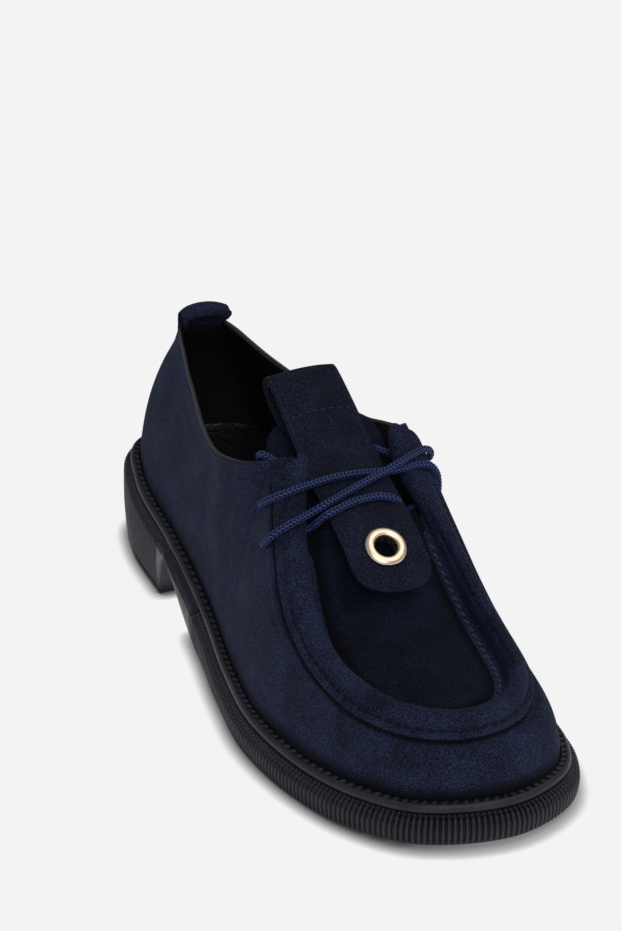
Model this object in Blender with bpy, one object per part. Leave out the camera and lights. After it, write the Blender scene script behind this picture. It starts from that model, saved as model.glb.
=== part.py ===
import math

import bmesh
import bpy
import numpy as np

# A right shoe: a lace-up loafer with a rolled apron band, on a ribbed unit sole.
# Lengths are millimetres. A station is a distance forward from the back of the sole,
# the lateral side is at negative X, and the toe points to -Y.

# Driving dimensions
MM = 0.001
SOLE_LENGTH = 275.0
BALL_WIDTH = 102.0
HEEL_HEIGHT = 37.5
FOREFOOT_HEIGHT = 10.6
TOE_SPRING = 3.2
LIFT_HEIGHT = 1.8
WELT_HEIGHT = 3.4
UPPER_RISE = 5.0
WALL = 2.0
GAP = 0.3
BAND_HEIGHT = 2.6
BAND_EDGE_HEIGHT = 0.9
BAND_FULLNESS = 0.7
STRAP_THICK = 2.2
TONGUE_THICK = 2.0
LACE_DIAMETER = 2.9
RING_OUTER = 14.8
RING_HOLE = 8.3
TAB_WIDTH = 20.0
TAB_THICK = 1.6
LOOP_CLEARANCE = 0.5
LOOP_FOOT_SHARE = 0.72
LOOP_START = 0.3
LOOP_INNER_SHARE = 0.8
LOOP_REACH = 6
LOOP_COLUMNS = 9
HOLE_DIAMETER = 4.4

# Insets from the edge of the sole, measured square to it
GROOVE_INSET = 3.4
UPPER_INSET = 7.3
INSOLE_INSET = UPPER_INSET + WALL + 0.6

# The breast of the heel leans forward as it rises
BREAST_STATION = 70.0
BREAST_LEAN = 0.45
HEEL_MARGIN = 3.0
ARCH_START = 80.0
ARCH_END = 118.0
COLLAR_CORNER = 147.0
FACING_CORNER = 155.0
THROAT = 178.0
SIDE_COUNT = 38
WELD_DISTANCE = 0.01
SAME_STATION = 0.01
SHARP_ANGLE = 40.0

# Plan of the sole: half widths either side of the long axis
sole_plan = {
    "columns": ("station", "lateral", "medial"),
    "rows": (
        (8.0, 29.4, 28.9),
        (33.0, 38.9, 39.2),
        (74.0, 41.8, 39.4),
        (115.0, 44.5, 36.4),
        (154.0, 51.4, 41.2),
        (187.0, 55.2, 46.8),
        (220.0, 50.8, 47.9),
        (247.5, 40.5, 43.9),
        (265.5, 25.0, 32.6),
    ),
}
TOE_OFFSET = 6.3
OUTLINE_STEPS = 60

# Height of the top of the ribbed wall
sole_top = {
    "columns": ("station", "height"),
    "rows": (
        (0.0, HEEL_HEIGHT),
        (20.0, 33.2),
        (41.0, 29.2),
        (82.0, 23.2),
        (124.0, 13.7),
        (165.0, FOREFOOT_HEIGHT),
        (215.0, FOREFOOT_HEIGHT),
        (250.0, 12.3),
        (275.0, FOREFOOT_HEIGHT + TOE_SPRING),
    ),
}
ARCH_RISE = 20.2
sole_bottom = {
    "columns": ("station", "height"),
    "rows": (
        (ARCH_START, ARCH_RISE),
        (90.0, 14.2),
        (102.0, 5.6),
        (111.0, 1.4),
        (ARCH_END, 0.0),
        (205.0, 0.0),
        (228.0, 0.4),
        (250.0, 1.8),
        (275.0, TOE_SPRING),
    ),
}
# Wall of the sole from bottom to top: inset, share of the height, rise above that share
sole_wall = {
    "columns": ("inset", "share", "rise"),
    "rows": (
        (1.6, 0.0, 0.0),
        (0.7, 0.0, 0.7),
        (0.1, 0.35, 0.0),
        (0.0, 0.5, 0.0),
        (0.5, 1.0, -2.7),
        (1.6, 1.0, -1.1),
        (GROOVE_INSET, 1.0, -0.4),
        (GROOVE_INSET, 1.0, 0.0),
    ),
}
ROUNDING_SHARE = 0.3
welt_section = {
    "columns": ("inset", "rise"),
    "rows": (
        (UPPER_INSET - 0.4, GAP),
        (4.2, GAP),
        (3.5, 0.8),
        (3.3, 1.6),
        (3.6, 2.6),
        (4.4, 3.2),
        (5.0, WELT_HEIGHT),
        (UPPER_INSET - 0.4, UPPER_RISE - 0.5),
    ),
}
# The upper's free edge: the collar, the corner of the facing, then the lip of the apron.
# The medial side stands higher than the lateral side by the lift.
upper_rim = {
    "columns": ("base", "station", "lateral", "medial", "height", "lift"),
    "rows": (
        (0.0, 14.5, 0.0, 0.0, 91.0, 0.0),
        (4.0, 15.3, 5.0, 5.0, 90.7, 0.0),
        (12.0, 18.5, 9.0, 9.0, 89.8, 0.0),
        (24.0, 26.0, 12.4, 12.4, 88.0, 0.0),
        (36.0, 35.5, 14.9, 14.9, 85.6, 0.0),
        (48.0, 47.0, 18.0, 18.0, 82.8, 0.0),
        (60.0, 59.0, 20.9, 20.9, 81.0, 0.0),
        (75.0, 74.5, 24.8, 24.8, 78.8, 0.0),
        (90.0, 90.0, 28.5, 28.5, 77.4, 0.0),
        (105.0, 105.5, 31.6, 31.6, 78.3, 0.3),
        (118.0, 119.0, 33.0, 32.2, 81.0, 1.2),
        (130.0, 131.0, 32.0, 30.8, 84.0, 2.4),
        (140.0, 141.0, 28.6, 28.6, 87.2, 3.4),
        (COLLAR_CORNER, 147.0, 24.2, 27.6, 90.0, 4.0),
        (151.0, 149.6, 19.2, 25.0, 91.0, 4.0),
        (FACING_CORNER, 151.4, 15.2, 21.4, 89.9, 3.8),
        (160.0, 154.4, 16.2, 20.6, 84.4, 3.0),
        (168.0, 159.5, 19.2, 22.0, 77.4, 1.4),
        (THROAT, 167.5, 22.6, 25.8, 69.4, 0.2),
        (190.0, 178.0, 26.1, 28.2, 60.2, 0.0),
        (202.0, 189.0, 28.2, 29.2, 52.6, 0.0),
        (214.0, 200.2, 29.2, 29.4, 46.8, 0.0),
        (226.0, 212.0, 28.6, 29.0, 43.0, 0.0),
        (238.0, 223.6, 26.0, 27.8, 40.8, 0.0),
        (248.0, 233.8, 21.8, 25.2, 39.7, 0.0),
        (258.0, 242.2, 15.4, 20.0, 39.0, 0.0),
        (265.0, 246.6, 9.8, 13.8, 38.9, 0.0),
        (271.0, 249.3, 4.2, 7.4, 38.8, 0.0),
        (275.0, 250.1, -1.2, 1.2, 38.8, 0.0),
    ),
}
# The outer edge of the apron band, which runs up both facings to the collar
band_edge = {
    "columns": ("base", "station", "lateral", "medial", "height", "lift"),
    "rows": (
        (COLLAR_CORNER, 147.4, 26.2, 30.0, 84.2, 3.6),
        (151.0, 149.0, 26.2, 30.6, 83.9, 3.6),
        (FACING_CORNER, 151.2, 26.6, 31.2, 82.4, 3.2),
        (160.0, 155.0, 28.0, 32.2, 79.2, 2.2),
        (168.0, 161.5, 30.8, 33.2, 72.8, 0.8),
        (THROAT, 170.5, 34.0, 34.2, 64.8, 0.0),
        (190.0, 181.5, 37.4, 34.9, 55.6, 0.0),
        (202.0, 192.5, 38.8, 35.0, 48.2, 0.0),
        (214.0, 204.0, 38.6, 34.8, 42.6, 0.0),
        (226.0, 216.5, 37.2, 34.2, 38.8, 0.0),
        (238.0, 229.5, 34.4, 32.6, 36.4, 0.0),
        (248.0, 239.3, 29.6, 29.4, 35.1, 0.0),
        (258.0, 249.0, 21.5, 22.8, 34.1, 0.0),
        (265.0, 254.3, 13.8, 16.6, 33.8, 0.0),
        (271.0, 257.4, 6.0, 9.0, 33.8, 0.0),
        (275.0, 258.3, -1.5, 1.5, 33.8, 0.0),
    ),
}
COLLAR_BAND = 6.0
# How round the wall is between the sole and the band, and the sunk apron's own form
upper_form = {
    "columns": ("base", "roundness", "bulge", "crease_drop", "crown"),
    "rows": (
        (0.0, 0.15, 2.2, 2.5, 6.0),
        (60.0, 0.15, 1.4, 2.5, 6.0),
        (120.0, 0.20, 0.8, 2.5, 6.0),
        (150.0, 0.30, 0.6, 2.5, 6.0),
        (THROAT, 0.40, 0.4, 2.8, 6.3),
        (205.0, 0.50, 0.2, 6.0, 7.8),
        (230.0, 0.56, 0.3, 6.4, 6.6),
        (255.0, 0.76, 0.6, 5.6, 3.2),
        (275.0, 0.95, 0.8, 5.0, 0.0),
    ),
}
CREASE_INSET = 6.0
WALL_LEVELS = (0.0, 0.12, 0.3, 0.52, 0.76)
BAND_LEVELS = (0.0, 0.25, 0.5, 0.75, 1.0)
BAND_RIDGE = 1.3
APRON_SHARES = (0.2, 0.4, 0.6, 0.8)

# Centre line of the tongue, from under the apron to its top, and how far its sides curl down
tongue_line = {
    "columns": ("station", "height", "half_width", "crown"),
    "rows": (
        (188.0, 52.1, 11.0, 5.0),
        (180.0, 58.3, 13.0, 5.0),
        (173.0, 63.8, 14.5, 5.0),
        (167.0, 68.6, 16.0, 5.0),
        (161.0, 73.4, 18.0, 5.0),
        (154.0, 78.6, 20.0, 4.2),
        (146.0, 83.8, 21.4, 2.8),
        (140.0, 87.3, 22.0, 1.6),
        (134.5, 90.2, 21.4, 0.8),
        (130.5, 91.9, 19.0, 0.4),
        (127.5, 93.1, 15.5, 0.3),
    ),
}
TONGUE_COLUMNS = 7
# The strap's outer face: up from its round end, over the fold and back under itself
strap_line = {
    "columns": ("station", "height", "half_width"),
    "rows": (
        (200.2, 58.6, 4.5),
        (198.8, 59.9, 8.6),
        (196.2, 62.1, 11.8),
        (192.0, 65.6, 13.8),
        (187.0, 69.4, 14.5),
        (181.0, 73.2, 14.5),
        (174.0, 76.8, 14.5),
        (166.0, 80.2, 14.5),
        (158.0, 83.8, 14.5),
        (150.0, 88.0, 14.5),
        (142.0, 92.8, 14.5),
        (134.0, 98.2, 14.5),
        (126.0, 103.4, 14.5),
        (120.5, 106.7, 14.5),
        (117.0, 108.2, 14.5),
        (114.6, 108.1, 14.5),
        (113.1, 106.2, 14.5),
        (113.5, 103.2, 14.5),
        (116.0, 100.4, 14.5),
        (121.0, 98.0, 14.5),
        (127.5, 95.2, 14.5),
        (134.0, 92.4, 14.5),
    ),
}
RING_STATION = 187.0
STRAP_CROWN = 1.2
STRAP_COLUMNS = 5

# Lace holes through both quarters
lace_holes = {
    "columns": ("side", "station", "height"),
    "rows": (
        (-1, 152.4, 76.4),
        (-1, 162.6, 65.8),
        (1, 149.2, 79.6),
        (1, 158.0, 66.6),
    ),
}
HOLE_ACROSS = 33.0
HOLE_REACH = 20.0
HOLE_SIDES = 10
# Routes of the lace strands from the outside of one hole to the outside of another
lace_upper_strand = (
    (-31.6, 152.8, 76.6), (-31.4, 154.6, 78.6), (-29.2, 158.6, 82.3), (-24.2, 160.6, 84.6),
    (-16.2, 160.0, 84.9), (-8.5, 159.9, 85.1), (0.0, 160.0, 85.1), (7.0, 160.7, 84.7),
    (13.5, 161.4, 84.3), (20.0, 160.8, 84.6), (25.6, 160.4, 86.2), (31.4, 160.0, 85.5),
    (35.8, 159.2, 81.4), (37.6, 158.4, 75.6), (37.8, 158.0, 70.6), (36.8, 158.0, 67.2),
)
lace_lower_strand = (
    (-36.2, 162.8, 66.4), (-36.4, 166.0, 70.4), (-33.8, 168.4, 73.8), (-28.0, 168.6, 76.5),
    (-22.0, 168.1, 77.6), (-16.5, 169.9, 80.3), (-8.5, 168.0, 81.9), (0.0, 166.0, 83.8),
    (8.5, 163.4, 85.5), (13.5, 162.0, 86.6), (18.5, 160.2, 89.0), (24.0, 157.4, 91.9),
    (30.0, 154.4, 92.0), (35.0, 151.8, 88.2), (35.6, 150.0, 83.0), (34.2, 149.4, 80.0),
)
lace_bar_route = (
    (-18.6, 166.4, 71.0), (-17.4, 169.8, 74.8), (-15.6, 172.2, 78.0), (-11.8, 172.3, 79.3),
    (-6.0, 171.1, 80.1), (1.0, 170.5, 80.4), (7.5, 170.9, 80.1), (12.0, 172.3, 79.3),
    (15.6, 172.0, 77.8), (17.6, 169.4, 74.8), (18.8, 166.4, 71.0),
)
LACE_SIDES = 8
LACE_STEP = 3.0
ROUTE_STEPS = 12
LACE_ASIDE = (0.0, 1.0, 0.3)

# The pull loop's arch from the collar's back edge: how straight across it is, where it runs,
# and how far its two edges fall below its middle
loop_arch = {
    "columns": ("straight", "station", "height", "fall"),
    "rows": (
        (0.2, 15.2, 93.6, 0.3),
        (0.35, 16.6, 96.4, 1.0),
        (0.4, 18.4, 98.1, 1.5),
        (0.4, 20.6, 98.2, 1.6),
        (0.35, 22.4, 96.6, 1.2),
        (0.3, 22.4, 93.8, 0.6),
    ),
}
# The eyelet ring turned about its own axis, heights from the strap's face
ring_section = {
    "columns": ("radius", "height"),
    "rows": (
        (RING_HOLE / 2, -3.6),
        (RING_HOLE / 2, 0.9),
        (RING_HOLE / 2 + 0.5, 1.6),
        (RING_HOLE / 2 + 1.5, 2.0),
        (RING_OUTER / 2 - 0.7, 1.6),
        (RING_OUTER / 2, 0.8),
        (RING_OUTER / 2 - 0.1, 0.5),
        (RING_HOLE / 2 + 0.65, 0.5),
        (RING_HOLE / 2 + 0.65, -2.9),
        (RING_OUTER / 2 - 0.9, -2.9),
        (RING_OUTER / 2 - 0.9, -3.6),
    ),
}
RING_SIDES = 28
RING_SINK = 0.2
STRAP_HOLE_MARGIN = 1.0
# Wall of the heel's top lift and edge of the insole, from bottom to top
lift_section = {
    "columns": ("inset", "height"),
    "rows": ((1.4, 0.0), (0.9, 0.5), (0.8, LIFT_HEIGHT)),
}
insole_section = {
    "columns": ("inset", "rise"),
    "rows": ((INSOLE_INSET, GAP), (INSOLE_INSET, 3.6), (INSOLE_INSET + 1.0, 4.2)),
}


def column(table, name):
    place = table["columns"].index(name)
    return np.array([row[place] for row in table["rows"]])


def smooth_curve(knots, values, at):
    # A cubic through the rows that never swings past them
    knots = np.asarray(knots, float)
    values = np.asarray(values, float)
    step = np.diff(knots)
    slope = np.diff(values) / step
    tangent = np.concatenate([[slope[0]], np.zeros(len(step) - 1), [slope[-1]]])
    for i in range(1, len(step)):
        if slope[i - 1] * slope[i] > 0:
            near, far = 2 * step[i] + step[i - 1], step[i] + 2 * step[i - 1]
            tangent[i] = (near + far) / (near / slope[i - 1] + far / slope[i])
    at = np.clip(at, knots[0], knots[-1])
    cell = np.clip(np.searchsorted(knots, at, side="right") - 1, 0, len(step) - 1)
    t = (at - knots[cell]) / step[cell]
    return (
        values[cell] * (1 + 2 * t) * (1 - t) ** 2
        + tangent[cell] * step[cell] * t * (1 - t) ** 2
        + values[cell + 1] * t * t * (3 - 2 * t)
        + tangent[cell + 1] * step[cell] * t * t * (t - 1)
    )


def read(table, name, at):
    knots = column(table, table["columns"][0])
    return smooth_curve(knots, column(table, name), np.asarray(at, float))


def angle_of(station):
    # Even steps of this angle crowd the stations at heel and toe, where the plan turns
    return np.arccos(1.0 - 2.0 * np.asarray(station, float) / SOLE_LENGTH)


def read_round(table, name, station, far_name=None):
    # Past heel and toe the rows run on along the other side, so a curve has no kink there
    knots = angle_of(column(table, "base"))
    values = column(table, name)
    beyond = values if far_name is None else -column(table, far_name)
    if knots[0] == 0.0:
        knots = np.concatenate([-knots[3:0:-1], knots])
        values = np.concatenate([beyond[3:0:-1], values])
    knots = np.concatenate([knots, 2 * math.pi - knots[-2:-5:-1]])
    values = np.concatenate([values, beyond[-2:-5:-1]])
    return smooth_curve(knots, values, angle_of(station))


def closed_spline(points, count):
    # Periodic Catmull-Rom through the points, spaced by their distances
    points = np.asarray(points, float)
    n = len(points)
    knot = np.sqrt(np.linalg.norm(np.roll(points, -1, 0) - points, axis=1))
    samples = []
    for i in range(n):
        p0, p1, p2, p3 = (points[(i + j) % n] for j in (-1, 0, 1, 2))
        d0, d1, d2 = knot[i - 1], knot[i], knot[(i + 1) % n]
        m1 = (p1 - p0) / d0 - (p2 - p0) / (d0 + d1) + (p2 - p1) / d1
        m2 = (p2 - p1) / d1 - (p3 - p1) / (d1 + d2) + (p3 - p2) / d2
        for t in np.linspace(0, 1, count, endpoint=False):
            samples.append(
                (1 + 2 * t) * (1 - t) ** 2 * p1 + t * (1 - t) ** 2 * d1 * m1
                + t * t * (3 - 2 * t) * p2 + t * t * (t - 1) * d1 * m2
            )
    return np.array(samples)


def sole_outline():
    station = column(sole_plan, "station")
    scale = BALL_WIDTH / max(column(sole_plan, "lateral") + column(sole_plan, "medial"))
    lateral = np.stack([-column(sole_plan, "lateral") * scale, station], axis=1)
    medial = np.stack([column(sole_plan, "medial") * scale, station], axis=1)[::-1]
    heel, toe = [(0.0, 0.0)], [(TOE_OFFSET, SOLE_LENGTH)]
    return closed_spline(np.concatenate([heel, lateral, toe, medial]), OUTLINE_STEPS)


OUTLINE = sole_outline()
MIDDLE = (OUTLINE.min(axis=0) + OUTLINE.max(axis=0)) / 2


def side_stations(marks):
    # Stations from heel to toe, the nearest ones moved onto the marks
    stations = SOLE_LENGTH * (1 - np.cos(np.linspace(0, math.pi, SIDE_COUNT + 1))) / 2
    for mark in marks:
        stations[np.argmin(abs(stations - mark))] = mark
    return stations


def plan_ring(stations, inset):
    # Up the lateral side and back down the medial one: point i faces point -i
    heel, toe = np.argmin(OUTLINE[:, 1]), np.argmax(OUTLINE[:, 1])
    lateral = OUTLINE[heel:toe + 1]
    medial = np.concatenate([OUTLINE[toe:], OUTLINE[:heel + 1]])[::-1]
    ring = []
    for side, order in ((lateral, stations), (medial, stations[-2:0:-1])):
        place = np.interp(order, side[:, 1], np.arange(len(side)))
        low = np.clip(np.floor(place).astype(int), 0, len(side) - 2)
        share = (place - low)[:, None]
        point = side[low] * (1 - share) + side[low + 1] * share
        run = side[np.clip(low + 2, 0, len(side) - 1)] - side[np.clip(low - 1, 0, len(side) - 1)]
        run = run / np.linalg.norm(run, axis=1)[:, None]
        turn = 1.0 if side is lateral else -1.0
        normal = np.stack([run[:, 1], -run[:, 0]], axis=1) * turn
        ring.append(point + normal * inset)
    ring = np.concatenate(ring)
    ring[0, 0] = (ring[1, 0] + ring[-1, 0]) / 2
    return ring


def add_height(ring, height):
    return np.column_stack([ring, height])


def bottom_height(station):
    lift_top = LIFT_HEIGHT + GAP
    breast = (station - BREAST_STATION) / BREAST_LEAN
    arch = read(sole_bottom, "height", station)
    return np.where(station < ARCH_START - SAME_STATION, np.maximum(lift_top, np.minimum(breast, arch)), arch)


def make_material(name, colour, roughness, metallic=0.0):
    material = bpy.data.materials.new(name)
    material.use_nodes = True
    shader = material.node_tree.nodes["Principled BSDF"]
    shader.inputs["Base Color"].default_value = (*colour, 1.0)
    shader.inputs["Roughness"].default_value = roughness
    shader.inputs["Metallic"].default_value = metallic
    return material


def placed_point(across, station, height):
    # The origin lies on the floor under the middle of the sole
    return (across - MIDDLE[0]) * MM, (MIDDLE[1] - station) * MM, height * MM


def add_object(name, mesh, material):
    work = bmesh.new()
    work.from_mesh(mesh)
    bmesh.ops.remove_doubles(work, verts=work.verts, dist=WELD_DISTANCE * MM)
    bmesh.ops.recalc_face_normals(work, faces=work.faces)
    work.to_mesh(mesh)
    work.free()
    mesh.shade_smooth()
    mesh.set_sharp_from_angle(angle=math.radians(SHARP_ANGLE))
    mesh.materials.append(material)
    obj = bpy.data.objects.new(name, mesh)
    bpy.context.scene.collection.objects.link(obj)
    return obj


def make_object(name, points, faces, material):
    placed = [placed_point(*point) for point in points]
    mesh = bpy.data.meshes.new(name)
    mesh.from_pydata(placed, [], faces)
    return add_object(name, mesh, material)


def add_cutter(name, radius, depth, sides):
    mesh = bpy.data.meshes.new(name)
    work = bmesh.new()
    bmesh.ops.create_cone(
        work, cap_ends=True, segments=sides, radius1=radius * MM, radius2=radius * MM, depth=depth * MM)
    work.to_mesh(mesh)
    work.free()
    cutter = bpy.data.objects.new(name, mesh)
    bpy.context.scene.collection.objects.link(cutter)
    hide_tool(cutter)
    return cutter


def hide_tool(obj):
    obj.hide_render = True
    obj.display_type = "WIRE"


def add_boolean(target, tool, operation):
    step = target.modifiers.new(tool.name, "BOOLEAN")
    step.operation = operation
    step.solver = "EXACT"
    step.object = tool


def grid_faces(rows, length, closed, first=0):
    faces = []
    for row in range(rows - 1):
        for i in range(length if closed else length - 1):
            a, b = first + row * length + i, first + row * length + (i + 1) % length
            faces.append((a, b, b + length, a + length))
    return faces


def cap_faces(length, first):
    # Strips straight across a ring, between its two sides
    faces = []
    for i in range(length // 2):
        corners = [first + i, first + i + 1, first + (length - i - 1) % length, first + (length - i) % length]
        faces.append(tuple(dict.fromkeys(corners)))
    return [face for face in faces if len(face) > 2]


def ring_solid(name, rings, material):
    length = len(rings[0])
    last = (len(rings) - 1) * length
    faces = grid_faces(len(rings), length, True) + cap_faces(length, 0) + cap_faces(length, last)
    return make_object(name, np.concatenate(rings), faces, material)


def hoop_solid(name, rings, material):
    length = len(rings[0])
    faces = grid_faces(len(rings) + 1, length, True)
    count = len(rings) * length
    faces = [tuple(i % count for i in face) for face in faces]
    return make_object(name, np.concatenate(rings), faces, material)


def grid_normals(grid):
    # Square to each point of a rows x columns grid whose columns close round
    across = np.roll(grid, -1, axis=1) - np.roll(grid, 1, axis=1)
    up = np.gradient(grid, axis=0)
    normal = np.cross(up, across)
    return normal / np.linalg.norm(normal, axis=2)[:, :, None]


def sheet_solid(name, grid, thickness, material):
    # A strip of leather: a grid of points given a back face along its normals
    along = np.gradient(grid, axis=0)
    across = np.gradient(grid, axis=1)
    normal = np.cross(along, across)
    normal /= np.linalg.norm(normal, axis=2)[:, :, None]
    back = grid - normal * thickness
    rows, length = grid.shape[:2]
    rings = []
    for row in range(rows):
        rings.append(np.concatenate([grid[row], back[row][::-1]]))
    points = np.concatenate(rings)
    ring = 2 * length
    faces = grid_faces(rows, ring, True)
    for first in (0, (rows - 1) * ring):
        for i in range(length - 1):
            faces.append((first + i, first + i + 1, first + ring - 2 - i, first + ring - 1 - i))
    return make_object(name, points, faces, material)


def make_outsole(rubber):
    stations = side_stations((BREAST_STATION + BREAST_LEAN * (LIFT_HEIGHT + GAP), ARCH_START, ARCH_END))
    rings = []
    for inset, share, rise in sole_wall["rows"]:
        ring = plan_ring(stations, inset)
        # The lower edge follows the outline's own stations, so the breast stays straight across
        low = bottom_height(np.concatenate([stations, stations[-2:0:-1]]))
        high = read(sole_top, "height", ring[:, 1])
        depth = high - low
        height = low + depth * share + np.clip(rise, -depth * ROUNDING_SHARE, depth * ROUNDING_SHARE)
        rings.append(add_height(ring, height))
    return ring_solid("outsole", rings, rubber)


def make_heel_lift(rubber):
    stations = side_stations(())
    stations = stations[stations < BREAST_STATION - HEEL_MARGIN]
    rings = []
    for inset, height in lift_section["rows"]:
        front = BREAST_STATION + BREAST_LEAN * height
        reach = np.append(stations, front)
        whole = plan_ring(np.concatenate([reach, [SOLE_LENGTH]]), inset)
        count = len(reach)
        ring = np.concatenate([whole[:count], whole[count + 1:]])
        ring[count - 1, 1] = ring[count, 1] = front
        rings.append(add_height(ring, np.full(len(ring), height)))
    length = len(rings[0])
    levels = len(rings)
    faces = grid_faces(levels, length, True)
    faces += [tuple(range(length)), tuple(range((levels - 1) * length, levels * length))]
    return make_object("heel_lift", np.concatenate(rings), faces, rubber)


def make_welt(rubber):
    stations = side_stations(())
    rings = []
    for inset, rise in welt_section["rows"]:
        ring = plan_ring(stations, inset)
        rings.append(add_height(ring, read(sole_top, "height", ring[:, 1]) + rise))
    return hoop_solid("welt", rings, rubber)


def make_insole(leather):
    stations = side_stations(())
    rings = []
    for inset, rise in insole_section["rows"]:
        ring = plan_ring(stations, inset)
        rings.append(add_height(ring, read(sole_top, "height", ring[:, 1]) + rise))
    return ring_solid("insole", rings, leather)


UPPER_STATIONS = side_stations((COLLAR_CORNER, FACING_CORNER, THROAT))
FACING_INDEX = int(np.argmin(abs(UPPER_STATIONS - FACING_CORNER)))
THROAT_INDEX = int(np.argmin(abs(UPPER_STATIONS - THROAT)))


def edge_line(table, stations):
    # Forward along the lateral side of a line, then back along its medial side
    back = stations[-2:0:-1]
    lateral = -read_round(table, "lateral", stations, "medial")
    medial = read_round(table, "medial", back, "lateral")
    whole = np.concatenate([stations, back])
    across = np.concatenate([lateral, medial])
    height = read_round(table, "height", whole)
    height[len(stations):] += read_round(table, "lift", back)
    return np.stack([across, read_round(table, "station", whole), height], axis=1)


def upper_rings():
    # Rings of the upper's outer face from the sole up to the collar and the apron's lip
    stations = UPPER_STATIONS
    base = plan_ring(stations, UPPER_INSET)
    floor = read(sole_top, "height", base[:, 1])
    foot = add_height(base, floor + GAP)
    start = add_height(base, floor + UPPER_RISE)
    rim = edge_line(upper_rim, stations)
    all_stations = np.concatenate([stations, stations[-2:0:-1]])
    edge = edge_line(band_edge, np.maximum(stations, COLLAR_CORNER))
    down = start - rim
    down /= np.linalg.norm(down, axis=1)[:, None]
    behind = all_stations < COLLAR_CORNER - SAME_STATION
    edge[behind] = (rim + down * COLLAR_BAND)[behind]
    roundness = read_round(upper_form, "roundness", all_stations)[:, None]
    bulge = read_round(upper_form, "bulge", all_stations)[:, None]
    outward = (plan_ring(stations, 0.0) - base) / UPPER_INSET
    rings = [foot]
    for level in WALL_LEVELS:
        turn = level * math.pi / 2
        flat = (1 - roundness) * level + roundness * (1 - math.cos(turn))
        rise = (1 - roundness[:, 0]) * level + roundness[:, 0] * math.sin(turn)
        plan = start[:, :2] + (edge - start)[:, :2] * flat
        plan = plan + outward * bulge * math.sin(math.pi * level)
        rings.append(add_height(plan, start[:, 2] + (edge - start)[:, 2] * rise))
    fore = np.clip((all_stations - COLLAR_CORNER) / (FACING_CORNER - COLLAR_CORNER), 0.0, 1.0)
    for level in BAND_LEVELS:
        ring = edge + (rim - edge) * level
        ring[:, 2] += BAND_RIDGE * fore * math.sin(math.pi * level)
        rings.append(ring)
    return np.array(rings)


def apron_rows(lip):
    # The sewn crease inside the lip, and the crowned plug between its two sides
    first = THROAT_INDEX
    count = 2 * SIDE_COUNT
    stations = UPPER_STATIONS[first:]
    run = np.roll(lip, -1, axis=0) - np.roll(lip, 1, axis=0)
    run[first] = lip[first + 1] - lip[first]
    run[count - first] = lip[count - first] - lip[count - first - 1]
    inward = np.stack([run[:, 1], -run[:, 0]], axis=1)
    inward /= np.linalg.norm(inward, axis=1)[:, None]
    order = np.arange(first, count - first + 1)
    mirrored_stations = np.concatenate([stations, stations[-2::-1]])
    crease = lip[order].copy()
    crease[:, :2] += inward[order] * CREASE_INSET
    crease[:, 2] -= read_round(upper_form, "crease_drop", mirrored_stations)
    rows = []
    half = len(stations)
    for i in range(half - 1):
        left, right = crease[i], crease[len(crease) - 1 - i]
        crown = float(read_round(upper_form, "crown", [stations[i]])[0])
        row = [left]
        for share in APRON_SHARES:
            point = left + (right - left) * share
            point[2] += crown * (1 - (2 * share - 1) ** 2)
            row.append(point)
        row.append(right)
        rows.append(row)
    return order, crease, rows


def make_upper(suede):
    rings = upper_rings()
    levels, count = rings.shape[:2]
    points = list(rings.reshape(-1, 3))
    faces = grid_faces(levels, count, True)
    order, crease, rows = apron_rows(rings[-1])
    lip_first = (levels - 1) * count
    crease_id = {}
    for place, ring_index in enumerate(order):
        crease_id[ring_index] = len(points)
        points.append(crease[place])
    for a, b in zip(order[:-1], order[1:]):
        faces.append((lip_first + a, lip_first + b, crease_id[b], crease_id[a]))
    lines = []
    for i, row in enumerate(rows):
        left, right = THROAT_INDEX + i, 2 * SIDE_COUNT - THROAT_INDEX - i
        ids = [crease_id[left]]
        for point in row[1:-1]:
            ids.append(len(points))
            points.append(point)
        ids.append(crease_id[right])
        lines.append(ids)
    for near, far in zip(lines[:-1], lines[1:]):
        for i in range(len(near) - 1):
            faces.append((near[i], near[i + 1], far[i + 1], far[i]))
    tip = crease_id[SIDE_COUNT]
    for a, b in zip(lines[-1][:-1], lines[-1][1:]):
        faces.append((a, b, tip))
    upper = make_object("upper", points, faces, suede)
    wall = upper.modifiers.new("wall", "SOLIDIFY")
    wall.thickness = WALL * MM
    wall.offset = -1.0
    wall.use_quality_normals = True
    for side, station, height in lace_holes["rows"]:
        cut_lace_hole(upper, side, station, height)
    return upper


def cut_lace_hole(upper, side, station, height):
    cutter = add_cutter("lace_hole_cutter", HOLE_DIAMETER / 2, HOLE_REACH, HOLE_SIDES)
    cutter.location = placed_point(side * HOLE_ACROSS, station, height)
    cutter.rotation_euler = (0, math.pi / 2, 0)
    add_boolean(upper, cutter, "DIFFERENCE")


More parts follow.
